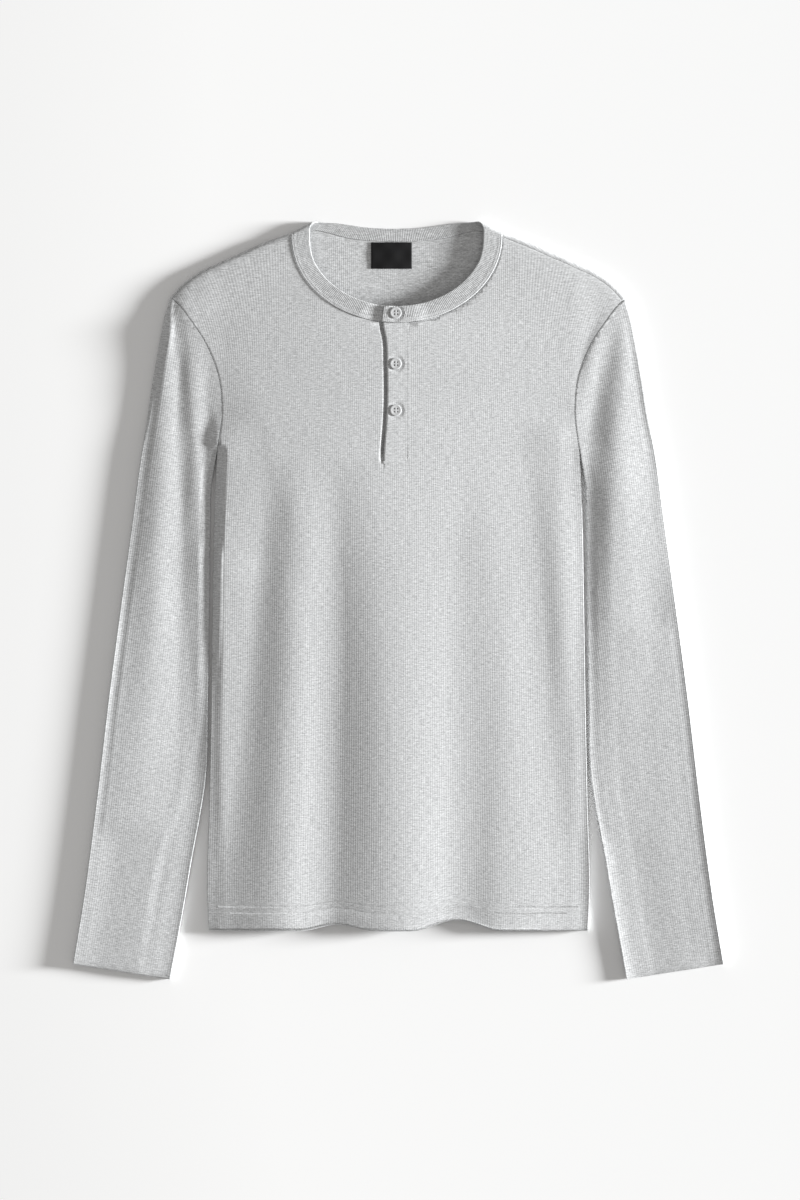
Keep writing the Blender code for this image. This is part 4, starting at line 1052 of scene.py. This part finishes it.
class Nodes:
    """A short way to write a material's nodes."""

    def __init__(self, name):
        self.material = bpy.data.materials.new(name)
        self.material.use_nodes = True
        self.tree = self.material.node_tree
        self.shader = self.tree.nodes["Principled BSDF"]

    def add(self, kind, inputs=(), **settings):
        node = self.tree.nodes.new(kind)
        for key, value in settings.items():
            setattr(node, key, value)
        self.set(node, dict(inputs))
        return node

    def set(self, node, inputs):
        for key, value in inputs.items():
            if isinstance(value, bpy.types.NodeSocket):
                self.tree.links.new(value, node.inputs[key])
            else:
                node.inputs[key].default_value = value

    def finished(self, inputs):
        """The material, with these inputs of its shader."""
        self.set(self.shader, inputs)
        return self.material

    def math(self, operation, a, b=0.0):
        return self.add("ShaderNodeMath", {0: a, 1: b}, operation=operation).outputs[0]

    def product(self, first, *others):
        for other in others:
            first = self.math("MULTIPLY", first, other)
        return first

    def range(self, value, low, high, to_low, to_high, **settings):
        return self.add("ShaderNodeMapRange", {"Value": value, "From Min": low, "From Max": high,
                                               "To Min": to_low,
                                               "To Max": to_high}, **settings).outputs["Result"]

    def noise(self, vector, scales, detail=2.0, roughness=0.5):
        place = self.add("ShaderNodeVectorMath", {0: vector, 1: scales}, operation="MULTIPLY").outputs[0]
        return self.add("ShaderNodeTexNoise", {"Vector": place, "Scale": 1.0, "Detail": detail,
                                               "Roughness": roughness}).outputs["Fac"]

    def place(self):
        return self.add("ShaderNodeTexCoord").outputs["Object"]

    def grey(self, red, blue=None):
        return self.add("ShaderNodeCombineColor", {0: red, 1: red,
                                                   2: red if blue is None else blue}).outputs[0]

    def tinted(self, colour, tone):
        """A colour multiplied by a tone."""
        return self.add("ShaderNodeMix", {0: 1.0, 6: (*colour, 1.0), 7: self.grey(tone)}, data_type="RGBA",
                        blend_type="MULTIPLY").outputs[2]

    def bump(self, strength, distance, height):
        return self.add("ShaderNodeBump", {"Strength": strength, "Distance": distance,
                                           "Height": height}).outputs["Normal"]


def knit_material(name, pitch, painted_furrow_shade):
    """Melange rib knit: streaks of darker fibre along the courses, and furrows between the ribs, with painted
    shade that darkens them and rows of stitches in them."""
    n = Nodes(name)
    cloth = n.add("ShaderNodeAttribute", attribute_name="cloth", attribute_type="GEOMETRY").outputs["Vector"]
    across, along, _ = n.add("ShaderNodeSeparateXYZ", {"Vector": cloth}).outputs
    phase = n.math("FRACT", n.math("DIVIDE", across, pitch))
    # crest runs from 0 in the furrows between the ribs to 1 on their crests; it masks the painted shade in
    # the furrows
    crest = n.math("SINE", n.product(phase, math.pi))
    long_streaks = n.noise(cloth, (150.0, 760.0, 1.0), 3.0, 0.65)
    short_streaks = n.noise(cloth, (420.0, 1150.0, 1.0), 2.0, 0.6)
    clouds = n.noise(cloth, (22.0, 34.0, 1.0))
    flecks = n.noise(cloth, (520.0, 1500.0, 1.0), 1.0)
    # the melange's streaks, clouds and flecks, and last the painted shade that darkens the furrows between
    # the ribs
    tone = n.product(n.range(long_streaks, 0.3, 0.7, 0.74, 1.20),
                     n.range(short_streaks, 0.3, 0.7, 0.78, 1.18),
                     n.range(clouds, 0.3, 0.7, 0.985, 1.015),
                     n.range(flecks, 0.60, 0.72, 1.0, 0.68, interpolation_type="SMOOTHSTEP"),
                     n.range(crest, 0.0, 0.75, painted_furrow_shade, 1.0))
    slant = n.product(n.math("ABSOLUTE", n.math("SUBTRACT", phase, 0.5)), 9.0)
    course = n.math("SINE", n.math("ADD", n.product(along, 2.0 * math.pi / 0.0013), slant))
    fuzz = n.noise(cloth, (2600.0, 2600.0, 1.0), 3.0, 0.7)
    height = n.math("ADD", n.product(course, 0.22), n.product(fuzz, 1.2))
    return n.finished({"Base Color": n.tinted((0.600, 0.607, 0.613), tone), "Roughness": 0.92,
                       "Specular IOR Level": 0.2, "Sheen Weight": 0.18, "Sheen Roughness": 0.45,
                       "Normal": n.bump(0.3, 0.00012, height)})


def thread_material(name):
    """Sewing thread: fine twisted strands."""
    n = Nodes(name)
    strands = n.noise(n.place(), (2400.0, 2400.0, 2400.0), 2.0, 0.6)
    tone = n.range(strands, 0.3, 0.7, 0.86, 1.08)
    return n.finished({"Base Color": n.tinted((0.61, 0.615, 0.62), tone), "Roughness": 0.55,
                       "Normal": n.bump(0.6, 0.0001, strands)})


def resin_material(name):
    """Pale pearly resin: soft clouds, and a fine haze of scratches in the gloss."""
    n = Nodes(name)
    place = n.place()
    ramp = n.add("ShaderNodeValToRGB", {"Fac": n.noise(place, (330.0, 520.0, 330.0), 3.0, 0.6)})
    low, high = ramp.color_ramp.elements
    low.position, low.color = 0.35, (0.50, 0.505, 0.51, 1.0)
    high.position, high.color = 0.65, (0.60, 0.605, 0.61, 1.0)
    scratches = n.noise(place, (900.0, 5200.0, 900.0), 3.0, 0.7)
    return n.finished({"Base Color": ramp.outputs["Color"], "Specular IOR Level": 0.5,
                       "Roughness": n.range(scratches, 0.3, 0.7, 0.26, 0.42)})


def satin_material(name):
    """Black woven satin: long floats of thread with a soft gleam across them."""
    n = Nodes(name)
    place = n.place()
    floats = n.noise(place, (1500.0, 9000.0, 1500.0), 2.0, 0.6)
    wear = n.noise(place, (90.0, 140.0, 90.0))
    tone = n.product(n.range(floats, 0.3, 0.7, 0.0022, 0.0058), n.range(wear, 0.3, 0.7, 0.9, 1.12))
    x, y, _ = n.add("ShaderNodeSeparateXYZ", {"Vector": place}).outputs
    rows, columns = (n.math("SINE", n.product(way, 2.0 * math.pi / pitch))
                     for way, pitch in ((y, 0.00045), (x, 0.0016)))
    height = n.math("ADD", n.product(rows, 0.5), n.product(columns, 0.2))
    return n.finished({"Base Color": n.grey(tone, n.product(tone, 1.15)), "Specular IOR Level": 0.3,
                       "Roughness": n.range(floats, 0.3, 0.7, 0.48, 0.62),
                       "Normal": n.bump(0.5, 0.00008, height)})


# The neckband


BAND_RIDGES = ((0.00095, 0.00045, 0.00010), (0.0031, 0.0007, 0.00006))  # from the seam, half-width, height
BAND_ROWS = (0.0019, 0.0044)  # the two rows of stitches beside the seam
BAND_ROUND = 0.0005  # the band's edges are rounded in this width
BAND_CORNER = 0.0034  # the radius of its top end's free corner
NEAR_SEAM = (0.0, 0.0002, 0.0005, 0.00095, 0.0014, 0.00165, 0.0019, 0.00215, 0.0026, 0.0031, 0.0037, 0.00415,
             0.0044,
             0.00465, 0.0054)  # the net's rows from the seam, from the free edge, and how many lie between
NEAR_FREE = (0.0011, 0.0005, 0.0002, 0.0)
BETWEEN = 6


def band_sections():
    """Both edges of the band in three parts: over the left front from its under end, round the back, and
    over the right front to its top end. Fronts are places in plan, and the back is (q, wrap)."""
    back = []
    for rows, off in ((BACK_NECKLINE, -SEAM_GAP / 2), (BAND_TOP, 0.0)):
        q, wrap = round_places(rows, np.linspace(0.0, 2.0, 2 * DENSE))
        along = unit(paired(np.gradient(q), np.gradient(wrap)))
        back.append(paired(-(q - off * along[:, 1]), wrap + off * along[:, 0]))
    fronts = []
    for first, last, end, joint in ((neck_angle(PLACKET_RIGHT - SEAM_GAP), math.pi, 0, -1),
                                    (0.0, neck_angle(SLIT[-1][1]), -1, 0)):
        angles = np.linspace(first, last, 2 * DENSE)
        edges = [neck_front(angles, -SEAM_GAP / 2),
                 neck_front(angles, 0.0, BAND_INNER_HALF, BAND_INNER_Y, BAND_INNER_DROP)]
        for line, (q, wrap) in zip(edges, (back[0][end], back[1][end])):
            step = from_fold(q, wrap) - line[joint]
            away = np.linalg.norm(line - line[joint], axis=1)
            line += step * (1.0 - smooth(away / 0.03))[:, None]
        fronts.append(edges)
    return fronts[0], back, fronts[1]


def band_grid():
    """The band's outer face as stations along it by widths across it: points, normals, how far each place
    is from the seam and from the free edge, how far the laps raise each station, and how far along each
    station is."""
    grids = []
    for part, (seam, free) in enumerate(band_sections()):
        span = np.linalg.norm(free - seam, axis=1)[:, None]
        first = np.tile(NEAR_SEAM, (len(seam), 1))
        far = span - np.array(NEAR_FREE)[None]
        middle = first[:, -1:] + (far[:, :1] - first[:, -1:]) * np.linspace(0.0, 1.0, BETWEEN + 2)[1:-1]
        depth = np.concatenate([first, middle, far], axis=1) / span
        flat = (seam[:, None] + depth[..., None] * (free - seam)[:, None]).reshape(-1, 2)
        points, normals = over_fold(*flat.T) if part == 1 else skin(flat, 1.0)
        shape = (*depth.shape, 3)
        x = points.reshape(shape)[:, 0, 0]
        if part != 1:
            points[:, 2] -= button_dip(*points[:, :2].T)
        raised = (-smooth((x - SLIT[-1][1] + LAP_CLEAR + LAP_RAMP) / LAP_RAMP), np.zeros(len(x)),
                  smooth((PLACKET_RIGHT + LAP_CLEAR + LAP_RAMP - x) / LAP_RAMP))[part]
        grids.append((points.reshape(shape), normals.reshape(shape), depth * span, (1.0 - depth) * span,
                      raised))
    grids = joined(grids)
    along = lengths_along(grids[0][:, grids[0].shape[1] // 2])
    column = BAND_RIB / 4.0
    marks = np.append(np.arange(int(along[-1] // column)) * column, along[-1])
    keep = np.append(True, np.diff(along) > 1e-9)
    resampled = []
    for values in grids:
        flat = values[keep].reshape(keep.sum(), -1)
        lines = np.stack([np.interp(marks, along[keep], line) for line in flat.T], axis=1)
        resampled.append(lines.reshape(len(marks), *values.shape[1:]))
    return (*resampled, marks)


def band_relief(from_seam, along):
    relief = np.zeros(np.broadcast(from_seam, along).shape)
    for place, half, height in BAND_RIDGES:
        relief = relief + height * np.exp(-(((from_seam - place) / half) ** 2))
    for row in BAND_ROWS:
        relief = relief - STITCH_DIP * np.exp(-(((from_seam - row) / 0.00035) ** 2))
    share = 0.3 + 0.7 * smooth((from_seam - 0.0038) / 0.0012)
    return relief + share * ribs(along, BAND_RIB, BAND_RIB_DEPTH)


def rounded(distance, width=BAND_ROUND):
    """The share of a wall's thickness at a distance from its rounded edge."""
    return np.sqrt(np.maximum(1.0 - near(distance, width) ** 2, 0.0))


def build_neckband(material):
    """The neckband, and the places of its stitches."""
    points, normals, from_seam, from_free, raised, along = band_grid()
    left = along[-1] - along
    pull = BAND_CORNER * (1.0 - np.sqrt(1.0 - near(left, BAND_CORNER) ** 2))
    width = from_seam[:, -1]
    points = points[:, :1] + (points - points[:, :1]) * ((width - pull) / width)[:, None, None]
    level = smooth((points[..., 2] - EDGE_HEIGHT) / EDGE_HEIGHT)
    shift = level * BAND_RAISE + (BAND_WALL + LIFT_GAP) / 2 * raised[:, None]
    middle = points + normals * (shift - BAND_WALL / 2)[..., None]
    half = 0.5 * BAND_WALL * rounded(from_free) * (0.45 + 0.55 * rounded(from_seam))
    end = rounded(np.minimum(left, along) + 0.00004)[:, None]
    outer = middle + normals * ((half + band_relief(from_seam,
                                                    along[:, None]) * rounded(from_free)) * end)[..., None]
    inner_relief = ribs(along[:, None], BAND_RIB, BAND_RIB_DEPTH) * rounded(from_free)
    inner = middle - normals * ((half * 0.92 + inner_relief) * end)[..., None]
    return (grid_shell("neckband_knit", outer, inner, along, from_seam, material, 31.7),
            stitch_rows(outer, normals))


def grid_shell(name, outer, inner, along, across, material, part):
    """A closed wall between two grids of stations by widths, whose outer and inner edges meet."""
    rows, columns = outer.shape[:2]
    index = np.arange(rows * columns).reshape(rows, columns)
    quads = []
    for grid, order in ((index, 1), (index + rows * columns, -1)):
        corners = [grid[:-1, :-1], grid[:-1, 1:], grid[1:, 1:], grid[1:, :-1]][::order]
        quads.append(np.stack(corners, axis=-1).reshape(-1, 4))
    edge = np.concatenate([index[:, 0], index[-1, 1:], index[-2::-1, -1], index[0, -2:0:-1]])
    under = edge + rows * columns
    quads.append(np.stack([edge, np.roll(edge, -1), np.roll(under, -1), under], axis=1))
    faces = [tuple(quad) for quad in np.concatenate(quads).tolist()]
    points = np.concatenate([outer.reshape(-1, 3), inner.reshape(-1, 3)])
    triangles = [face[:3] for face in faces] + [(face[0], face[2], face[3]) for face in faces]
    if volume(points, triangles) < 0.0:
        faces = [face[::-1] for face in faces]
    places = cloth_places(np.repeat(along, columns), across.ravel(), part)
    return piece(name, points, faces, np.concatenate([places, places]), material)


def stitch_rows(outer, normals):
    """The places of the band's stitches beside the seam: middles, directions along and out."""
    found = []
    pitch = 0.0026
    for row in BAND_ROWS:
        column = int(np.abs(np.array(NEAR_SEAM) - row).argmin())
        line, up = outer[:, column], normals[:, column]
        length = lengths_along(line)
        marks = np.arange(pitch, length[-1] - pitch, pitch)
        centre, ahead, out = (np.stack([np.interp(shifted, length, axis) for axis in part.T], axis=1)
                              for part, shifted in ((line, marks), (line, marks + STITCH_AHEAD), (up, marks)))
        found.append((centre, ahead - centre, out))
    return joined(found)


# Strips, stitches, buttons and label


def build_strip(name, left_off, over, material, part):
    """A strip of the placket over or under the open edge. Its ribs are flatter beside the edge."""
    clear = STRIP_CLEAR if over else SEAM_GAP
    right, bottom = PLACKET_RIGHT - clear, PLACKET_END_Y + clear
    top = neck_front(neck_angle(np.linspace(right, float(slit_x(0.2745)) + left_off, 60)), SEAM_GAP / 2)
    ys = np.linspace(top[-1, 1], bottom, DENSE)
    left = paired(slit_x(ys) + left_off, ys)
    left[0] = top[-1]
    corner = np.array([right, bottom])
    lines = [to_cloth(line) for line in (np.array([left[-1], corner]), np.array([corner, top[0]]), top, left)]
    beside = [to_cloth(left + (off, 0.0)) for off in (0.0002, 0.0005, 0.0009, 0.0014)]

    def face(places):
        y = places[:, 1]
        x = body_x(*places.T)
        points, normals = skin(paired(x, y), 1.0)
        if over:
            points[:, 2] += (STRIP_RISE * (1.0 - smooth((x - slit_x(y)) / (right - slit_x(y))))
                             - button_dip(x, y))
        else:
            points[:, 2] += UNDER_LEVEL - slit_dip(x, y)
        return points, normals

    def relief(places):
        r, y = places.T
        x = body_x(r, y)
        edge = 0.0008 * near(x - slit_x(y) - left_off, 0.0014) ** 2
        depth = STRIP_RIB_DEPTH + (RIB_DEPTH - STRIP_RIB_DEPTH) * smooth((x - STRIP_RIBS_X) / 0.0035)
        return ribs(r, RIB, 1.0) * depth - edge

    return build_panel(name, lines, material, part, face, relief, lambda places: WALL, 0.0006, beside,
                       rows=(0.0024, 0.0060))


def hem_stitches(layer, hem_rise):
    """The places of the hem's two rows of stitches on one layer."""
    r = np.arange(-SIDE_R + 0.004, SIDE_R - 0.004, 0.0027)
    found = []
    for row in STITCH_ROWS:
        (middle, out), (ahead, _) = (skin(body_places(paired(r + shift, HEM_Y + row), hem_rise), layer)
                                     for shift in (0.0, STITCH_AHEAD))
        found.append((middle - out * STITCH_SINK, ahead - middle, out))
    return joined(found)


def placket_marks():
    """The sewn bar at the foot of the opening, a short stitch beside it, and the end of the top
    buttonhole."""
    bar = [(float(slit_x(PLACKET_END_Y)) + 0.0005, PLACKET_END_Y + 0.0005 * row, 0.0) for row in range(-2, 3)]
    marks = [(0.0097, 0.1452, 90.0), (0.0097, 0.1425, 90.0), (0.0105, 0.1438, 90.0)]
    hole = [(BUTTON_X + 0.0092, BUTTON_YS[0] + 0.0009 * row - 0.0012, 60.0) for row in range(3)]
    spots = np.array(bar + marks + hole)
    points, normals = skin(spots[:, :2], 1.0)
    level = np.array([STRIP_RISE] * len(bar) + [0.0] * len(marks) + [BAND_TOP_LEVEL] * len(hole))
    turn = np.radians(spots[:, 2])
    along = np.column_stack([np.cos(turn), np.sin(turn), np.zeros(len(turn))])
    return points + normals * level[:, None], along, normals


def build_stitches(name, places, length, width, material):
    """Short laid threads, one at each place."""
    centre, along, out = places
    along = unit(along)
    across = unit(np.cross(out, along))
    up = np.cross(along, across)
    spots = []
    for share, size in ((-0.5, 0.0), (-0.3, 1.0), (0.3, 1.0), (0.5, 0.0)):
        for turn in np.arange(6 if size else 1) * math.pi / 3.0:
            spots.append((share * length, 0.5 * width * size * math.cos(turn),
                          0.34 * width * size * math.sin(turn)))
    spots = np.array(spots)
    points = centre[:, None] + sum(spots[None, :, axis, None] * side[:, None]
                                   for axis, side in enumerate((along, across, up)))
    faces = [(0, 1 + (i + 1) % 6, 1 + i) for i in range(6)] + [(13, 7 + i, 7 + (i + 1) % 6) for i in range(6)]
    faces += [(1 + i, 1 + (i + 1) % 6, 7 + (i + 1) % 6, 7 + i) for i in range(6)]
    every = [tuple(corner + first * len(spots) for corner in face)
             for first in range(len(centre)) for face in faces]
    points = points.reshape(-1, 3)
    return piece(name, points, every, np.zeros((len(points), 3)), material)


def circle(radius, count):
    turns = np.arange(count) * 2.0 * math.pi / count
    return radius * paired(np.cos(turns), np.sin(turns))


def rim_fall(r, start):
    """How the rounded rim of a button falls away from start on, as a share."""
    over = np.clip((r - start) / (BUTTON_RADIUS - start), 0.0, 1.0)
    return 1.0 - np.sqrt(1.0 - over**2)


def build_button(name, y, material):
    """A turned button with a dish and four holes through it, its place and its turn."""
    seat, normal = skin(np.array([[BUTTON_X, y]]), 1.0)
    seat[:, 2] -= BUTTON_DIP
    normal = normal[0]
    seat = seat[0] + normal * ((BAND_TOP_LEVEL if y > 0.28 else STRIP_RISE) + BUTTON_GAP)
    rings = [circle(radius, RIM if radius > 0.003 else RIM // 2) for radius in BUTTON_RINGS]
    middles = HOLE_OFFSET * np.array([(1, 1), (-1, 1), (-1, -1), (1, -1)])
    spots = np.concatenate([np.zeros((1, 2)), *rings[:-1]])
    spots = spots[np.linalg.norm(spots[:, None] - middles, axis=2).min(1) > HOLE_RADIUS + 0.0002]
    flat = np.concatenate([rings[-1], *(middle + circle(HOLE_RADIUS, HOLE_CORNERS) for middle in middles),
                           spots])
    loops = [list(range(RIM))] + [[RIM + HOLE_CORNERS * hole
                                   + i for i in range(HOLE_CORNERS)] for hole in range(4)]
    edges = [pair for loop in loops[1:] for pair in zip(loop, loop[1:] + loop[:1])]
    made = delaunay_2d_cdt([Vector(spot) for spot in (flat * 1000.0).tolist()], edges, loops[:1], 1, 1e-6)
    order = np.array([sources[0] for sources in made[3]])
    places = flat[order]
    back_to = {int(source): new for new, source in enumerate(order)}
    centres = places[np.array([tuple(face) for face in made[2]])].mean(1)
    solid = np.linalg.norm(centres[:, None] - middles, axis=2).min(1) > HOLE_RADIUS
    top = [tuple(face) for face, keep in zip(made[2], solid) if keep]
    count = len(places)
    radius = np.linalg.norm(places, axis=1)
    dish = 0.00014 * (1.0 - smooth((radius - 0.0034) / 0.0012))
    upper = np.column_stack([places, BUTTON_HEIGHT - dish - 0.0004 * rim_fall(radius, 0.0052)])
    lower = np.column_stack([places, 0.0006 * rim_fall(radius, 0.0049)])
    for hole in middles:
        upper[np.abs(np.linalg.norm(places - hole, axis=1) - HOLE_RADIUS) < 1e-6, 2] -= 0.00012
    faces = top + [tuple(corner + count for corner in reversed(face)) for face in top]
    for index, loop in enumerate(loops):
        loop = [back_to[i] for i in loop][:: -1 if index else 1]
        faces += [(a, a + count, b + count, b) for a, b in zip(loop, loop[1:] + loop[:1])]
    points = np.concatenate([upper, lower])
    x = np.cross((0.0, 1.0, 0.0), normal)
    x /= np.linalg.norm(x)
    turn = np.stack([x, np.cross(normal, x), normal], axis=1)
    return (piece(name, points @ turn.T + seat, faces, np.zeros((len(points), 3)), material, 50.0),
            (seat, turn))


def button_threads(seats):
    """Two bars of thread across each button's holes, each of two strands."""
    found = []
    for seat, turn in seats:
        for side in (-1.0, 1.0):
            for strand in (-0.5, 0.5):
                spot = np.array([0.0, side * HOLE_OFFSET + strand * 0.00036, BUTTON_HEIGHT - 0.00060])
                found.append((seat + turn @ spot, turn[:, 0], turn[:, 2]))
    return tuple(np.array(parts) for parts in zip(*found))


def label_marks(length, count):
    """Places across the label from its middle, closer at its edges."""
    marks = [[0.0, 0.0003, 0.001], np.linspace(0.003, length - 0.003, count),
             [length - 0.001, length - 0.0003, length]]
    return np.concatenate(marks) - length / 2


def build_label(material):
    """The woven label on the inside of the back: a thin folded piece with soft edges, and slightly bowed."""
    width, height = LABEL_SIZE
    columns, rows = label_marks(width, 30), label_marks(height, 18)
    y, x = np.meshgrid(rows, columns, indexing="ij")
    edge = np.minimum(width / 2 - np.abs(x), height / 2 - np.abs(y))
    soft = np.sqrt(1.0 - near(edge, 0.001) ** 2)
    bow = (0.0005 * np.sin(math.pi * (x / width + 0.5)) ** 2
           + 0.00025 * np.sin(x * 310.0 + 1.0) * np.cos(y * 240.0))
    stitched = 0.0004 * np.exp(-(((height / 2 - LABEL_STITCH_IN - y) / 0.0005) ** 2))
    base = WALL + LIFT_GAP + 0.0001
    top = base + 0.00025 + 0.00055 * soft + np.maximum(bow, -0.0001) - stitched * soft
    high, low = (np.stack([x + LABEL_CENTRE[0], y + LABEL_CENTRE[1], z], axis=-1)
                 for z in (top, base + 0.00015 * (1.0 - soft)))
    return grid_shell("neck_label_satin", high, low, rows, np.broadcast_to(columns, x.shape), material, 0.0)


def label_stitches():
    """A row of stitches along the label's upper edge."""
    width, height = LABEL_SIZE
    x = np.arange(-width / 2 + 0.002, width / 2 - 0.001, 0.0026)
    centre = np.stack([x + LABEL_CENTRE[0], np.full(len(x), LABEL_CENTRE[1] + height / 2 - LABEL_STITCH_IN),
                       WALL + LIFT_GAP + 0.0009 + 0.0005 * np.sin(math.pi * (x / width + 0.5)) ** 2], axis=1)
    return centre, np.tile((1.0, 0.0, 0.0), (len(x), 1)), np.tile((0.0, 0.0, 1.0), (len(x), 1))


# The shirt


def declare(obj, slot, *nodes):
    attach(obj, "root")
    if nodes:
        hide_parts(*nodes)
    return obj


def build_shirt():
    # the last number sets how dark the painted shade in the furrows between the ribs makes the colour
    knit = knit_material("rib_knit_body", RIB, 0.94)
    band_knit = knit_material("rib_knit_band", BAND_RIB, 0.76)
    thread = thread_material("sewing_thread")
    resin = resin_material("button_resin_pearl")
    satin = satin_material("label_satin_black")

    front = declare(build_front(knit), "rib_knit", "front")
    back = declare(build_back(knit), "rib_knit", "back")
    left = declare(build_sleeve("sleeve_left_knit", -1, knit), "rib_knit", "sleeve_left")
    right = declare(build_sleeve("sleeve_right_knit", 1, knit), "rib_knit", "sleeve_right")
    band, band_places = build_neckband(band_knit)
    declare(band, "rib_band", "neckband")
    top = declare(build_strip("placket_top_knit", 0.0, True, knit, 0.0), "rib_band", "placket_top")
    under = declare(build_strip("placket_under_knit", SEAM_GAP - UNDERLAP, False, knit, 47.0), "rib_band",
                    "placket_under")
    buttons, seats = [], []
    for index, y in enumerate(BUTTON_YS, start=1):
        button, seat = build_button(f"button_{index}_resin", y, resin)
        buttons.append(declare(button, "button_resin", f"button_{index}"))
        seats.append(seat)
    label = declare(build_label(satin), "label_satin", "neck_label")
    for name, places, length, width, material, slot in (
        ("band_stitches", band_places, 0.0018, 0.00036, thread, "rib_band"),
        ("front_hem_stitches", hem_stitches(1.0, hem_rise_front), 0.0019, 0.0004, thread, "rib_knit"),
        ("back_hem_stitches", hem_stitches(-1.0, hem_rise_back), 0.0019, 0.0004, thread, "rib_knit"),
        ("placket_stitches", placket_marks(), 0.0026, 0.0004, thread, "rib_band"),
        ("button_threads", button_threads(seats), 0.0022, 0.00030, thread, "rib_band"),
        ("label_stitches", label_stitches(), 0.0018, 0.0004, satin, "label_satin"),
    ):
        declare(build_stitches(name, places, length, width, material), slot)


# The floor, the light and the camera


LIGHT_DISTANCE = 6.0
LIGHT_ELEVATION = math.radians(11.0)
LIGHT_TURN = math.radians(4.0)  # towards the neck from the viewer's right
LIGHT_PLACE = (LIGHT_DISTANCE * math.cos(LIGHT_ELEVATION) * math.cos(LIGHT_TURN),
               LIGHT_DISTANCE * math.cos(LIGHT_ELEVATION) * math.sin(LIGHT_TURN),
               LIGHT_DISTANCE * math.sin(LIGHT_ELEVATION))
LIGHT_SIZE = 2.0 * LIGHT_DISTANCE * math.tan(math.radians(5.5))
ROOM_LIGHT = 0.40
LIGHT_POWER = 1159.0
FLOOR_TONE = 0.94
FLOOR_HALF = 6.0
FLOOR_Z = -0.0004


def build_floor():
    """A plain pale floor. Its paint is darker towards the light and paler away from it, so that it looks
    even."""
    n = Nodes("floor_paint")
    place = n.place()
    clouds = n.noise(place, (3.0, 3.0, 3.0))
    far = n.add("ShaderNodeVectorMath", {0: place, 1: LIGHT_PLACE}, operation="DISTANCE").outputs["Value"]
    near_light = n.math("POWER", n.math("DIVIDE", LIGHT_DISTANCE, far), 3.0)
    lit = n.math("ADD", 0.38, n.product(near_light, 0.62))
    tone = n.product(n.math("DIVIDE", FLOOR_TONE, lit), n.range(clouds, 0.3, 0.7, 0.998, 1.002))
    tone = n.math("MINIMUM", tone, 0.99)
    mesh = bpy.data.meshes.new("floor")
    corners = [(x * FLOOR_HALF, y * FLOOR_HALF, FLOOR_Z) for x, y in ((-1, -1), (1, -1), (1, 1), (-1, 1))]
    mesh.from_pydata(corners, [], [(0, 1, 2, 3)])
    mesh.materials.append(n.finished({"Base Color": n.grey(tone), "Roughness": 0.9,
                                      "Specular IOR Level": 0.1}))
    linked("floor", mesh)


def build_light():
    """A broad soft light low on the viewer's right, and pale light from all round."""
    window = bpy.data.lights.new("window", "AREA")
    window.shape = "DISK"
    window.size = LIGHT_SIZE
    window.energy = LIGHT_POWER
    window.color = (0.985, 0.995, 1.0)
    obj = linked("window", window)
    obj.location = Vector(LIGHT_PLACE)
    obj.rotation_mode = "QUATERNION"
    obj.rotation_quaternion = Vector(LIGHT_PLACE).to_track_quat("Z", "Y")
    world = bpy.data.worlds.new("room")
    world.use_nodes = True
    sky = world.node_tree.nodes["Background"]
    sky.inputs["Color"].default_value = (1.0, 0.985, 0.965, 1.0)
    sky.inputs["Strength"].default_value = ROOM_LIGHT
    bpy.context.scene.world = world
    bpy.context.scene.view_settings.view_transform = "Standard"


def build_camera():
    """Straight above the middle, so far off that a pixel of the picture's 1200 in its height is a
    millimetre."""
    data = bpy.data.cameras.new("camera")
    data.lens = 90.0
    data.sensor_width = 36.0
    camera = linked("camera", data)
    camera.location = (0.0017, 0.0008, 3.004)
    bpy.context.scene.camera = camera


build_shirt()
build_floor()
build_light()
build_camera()
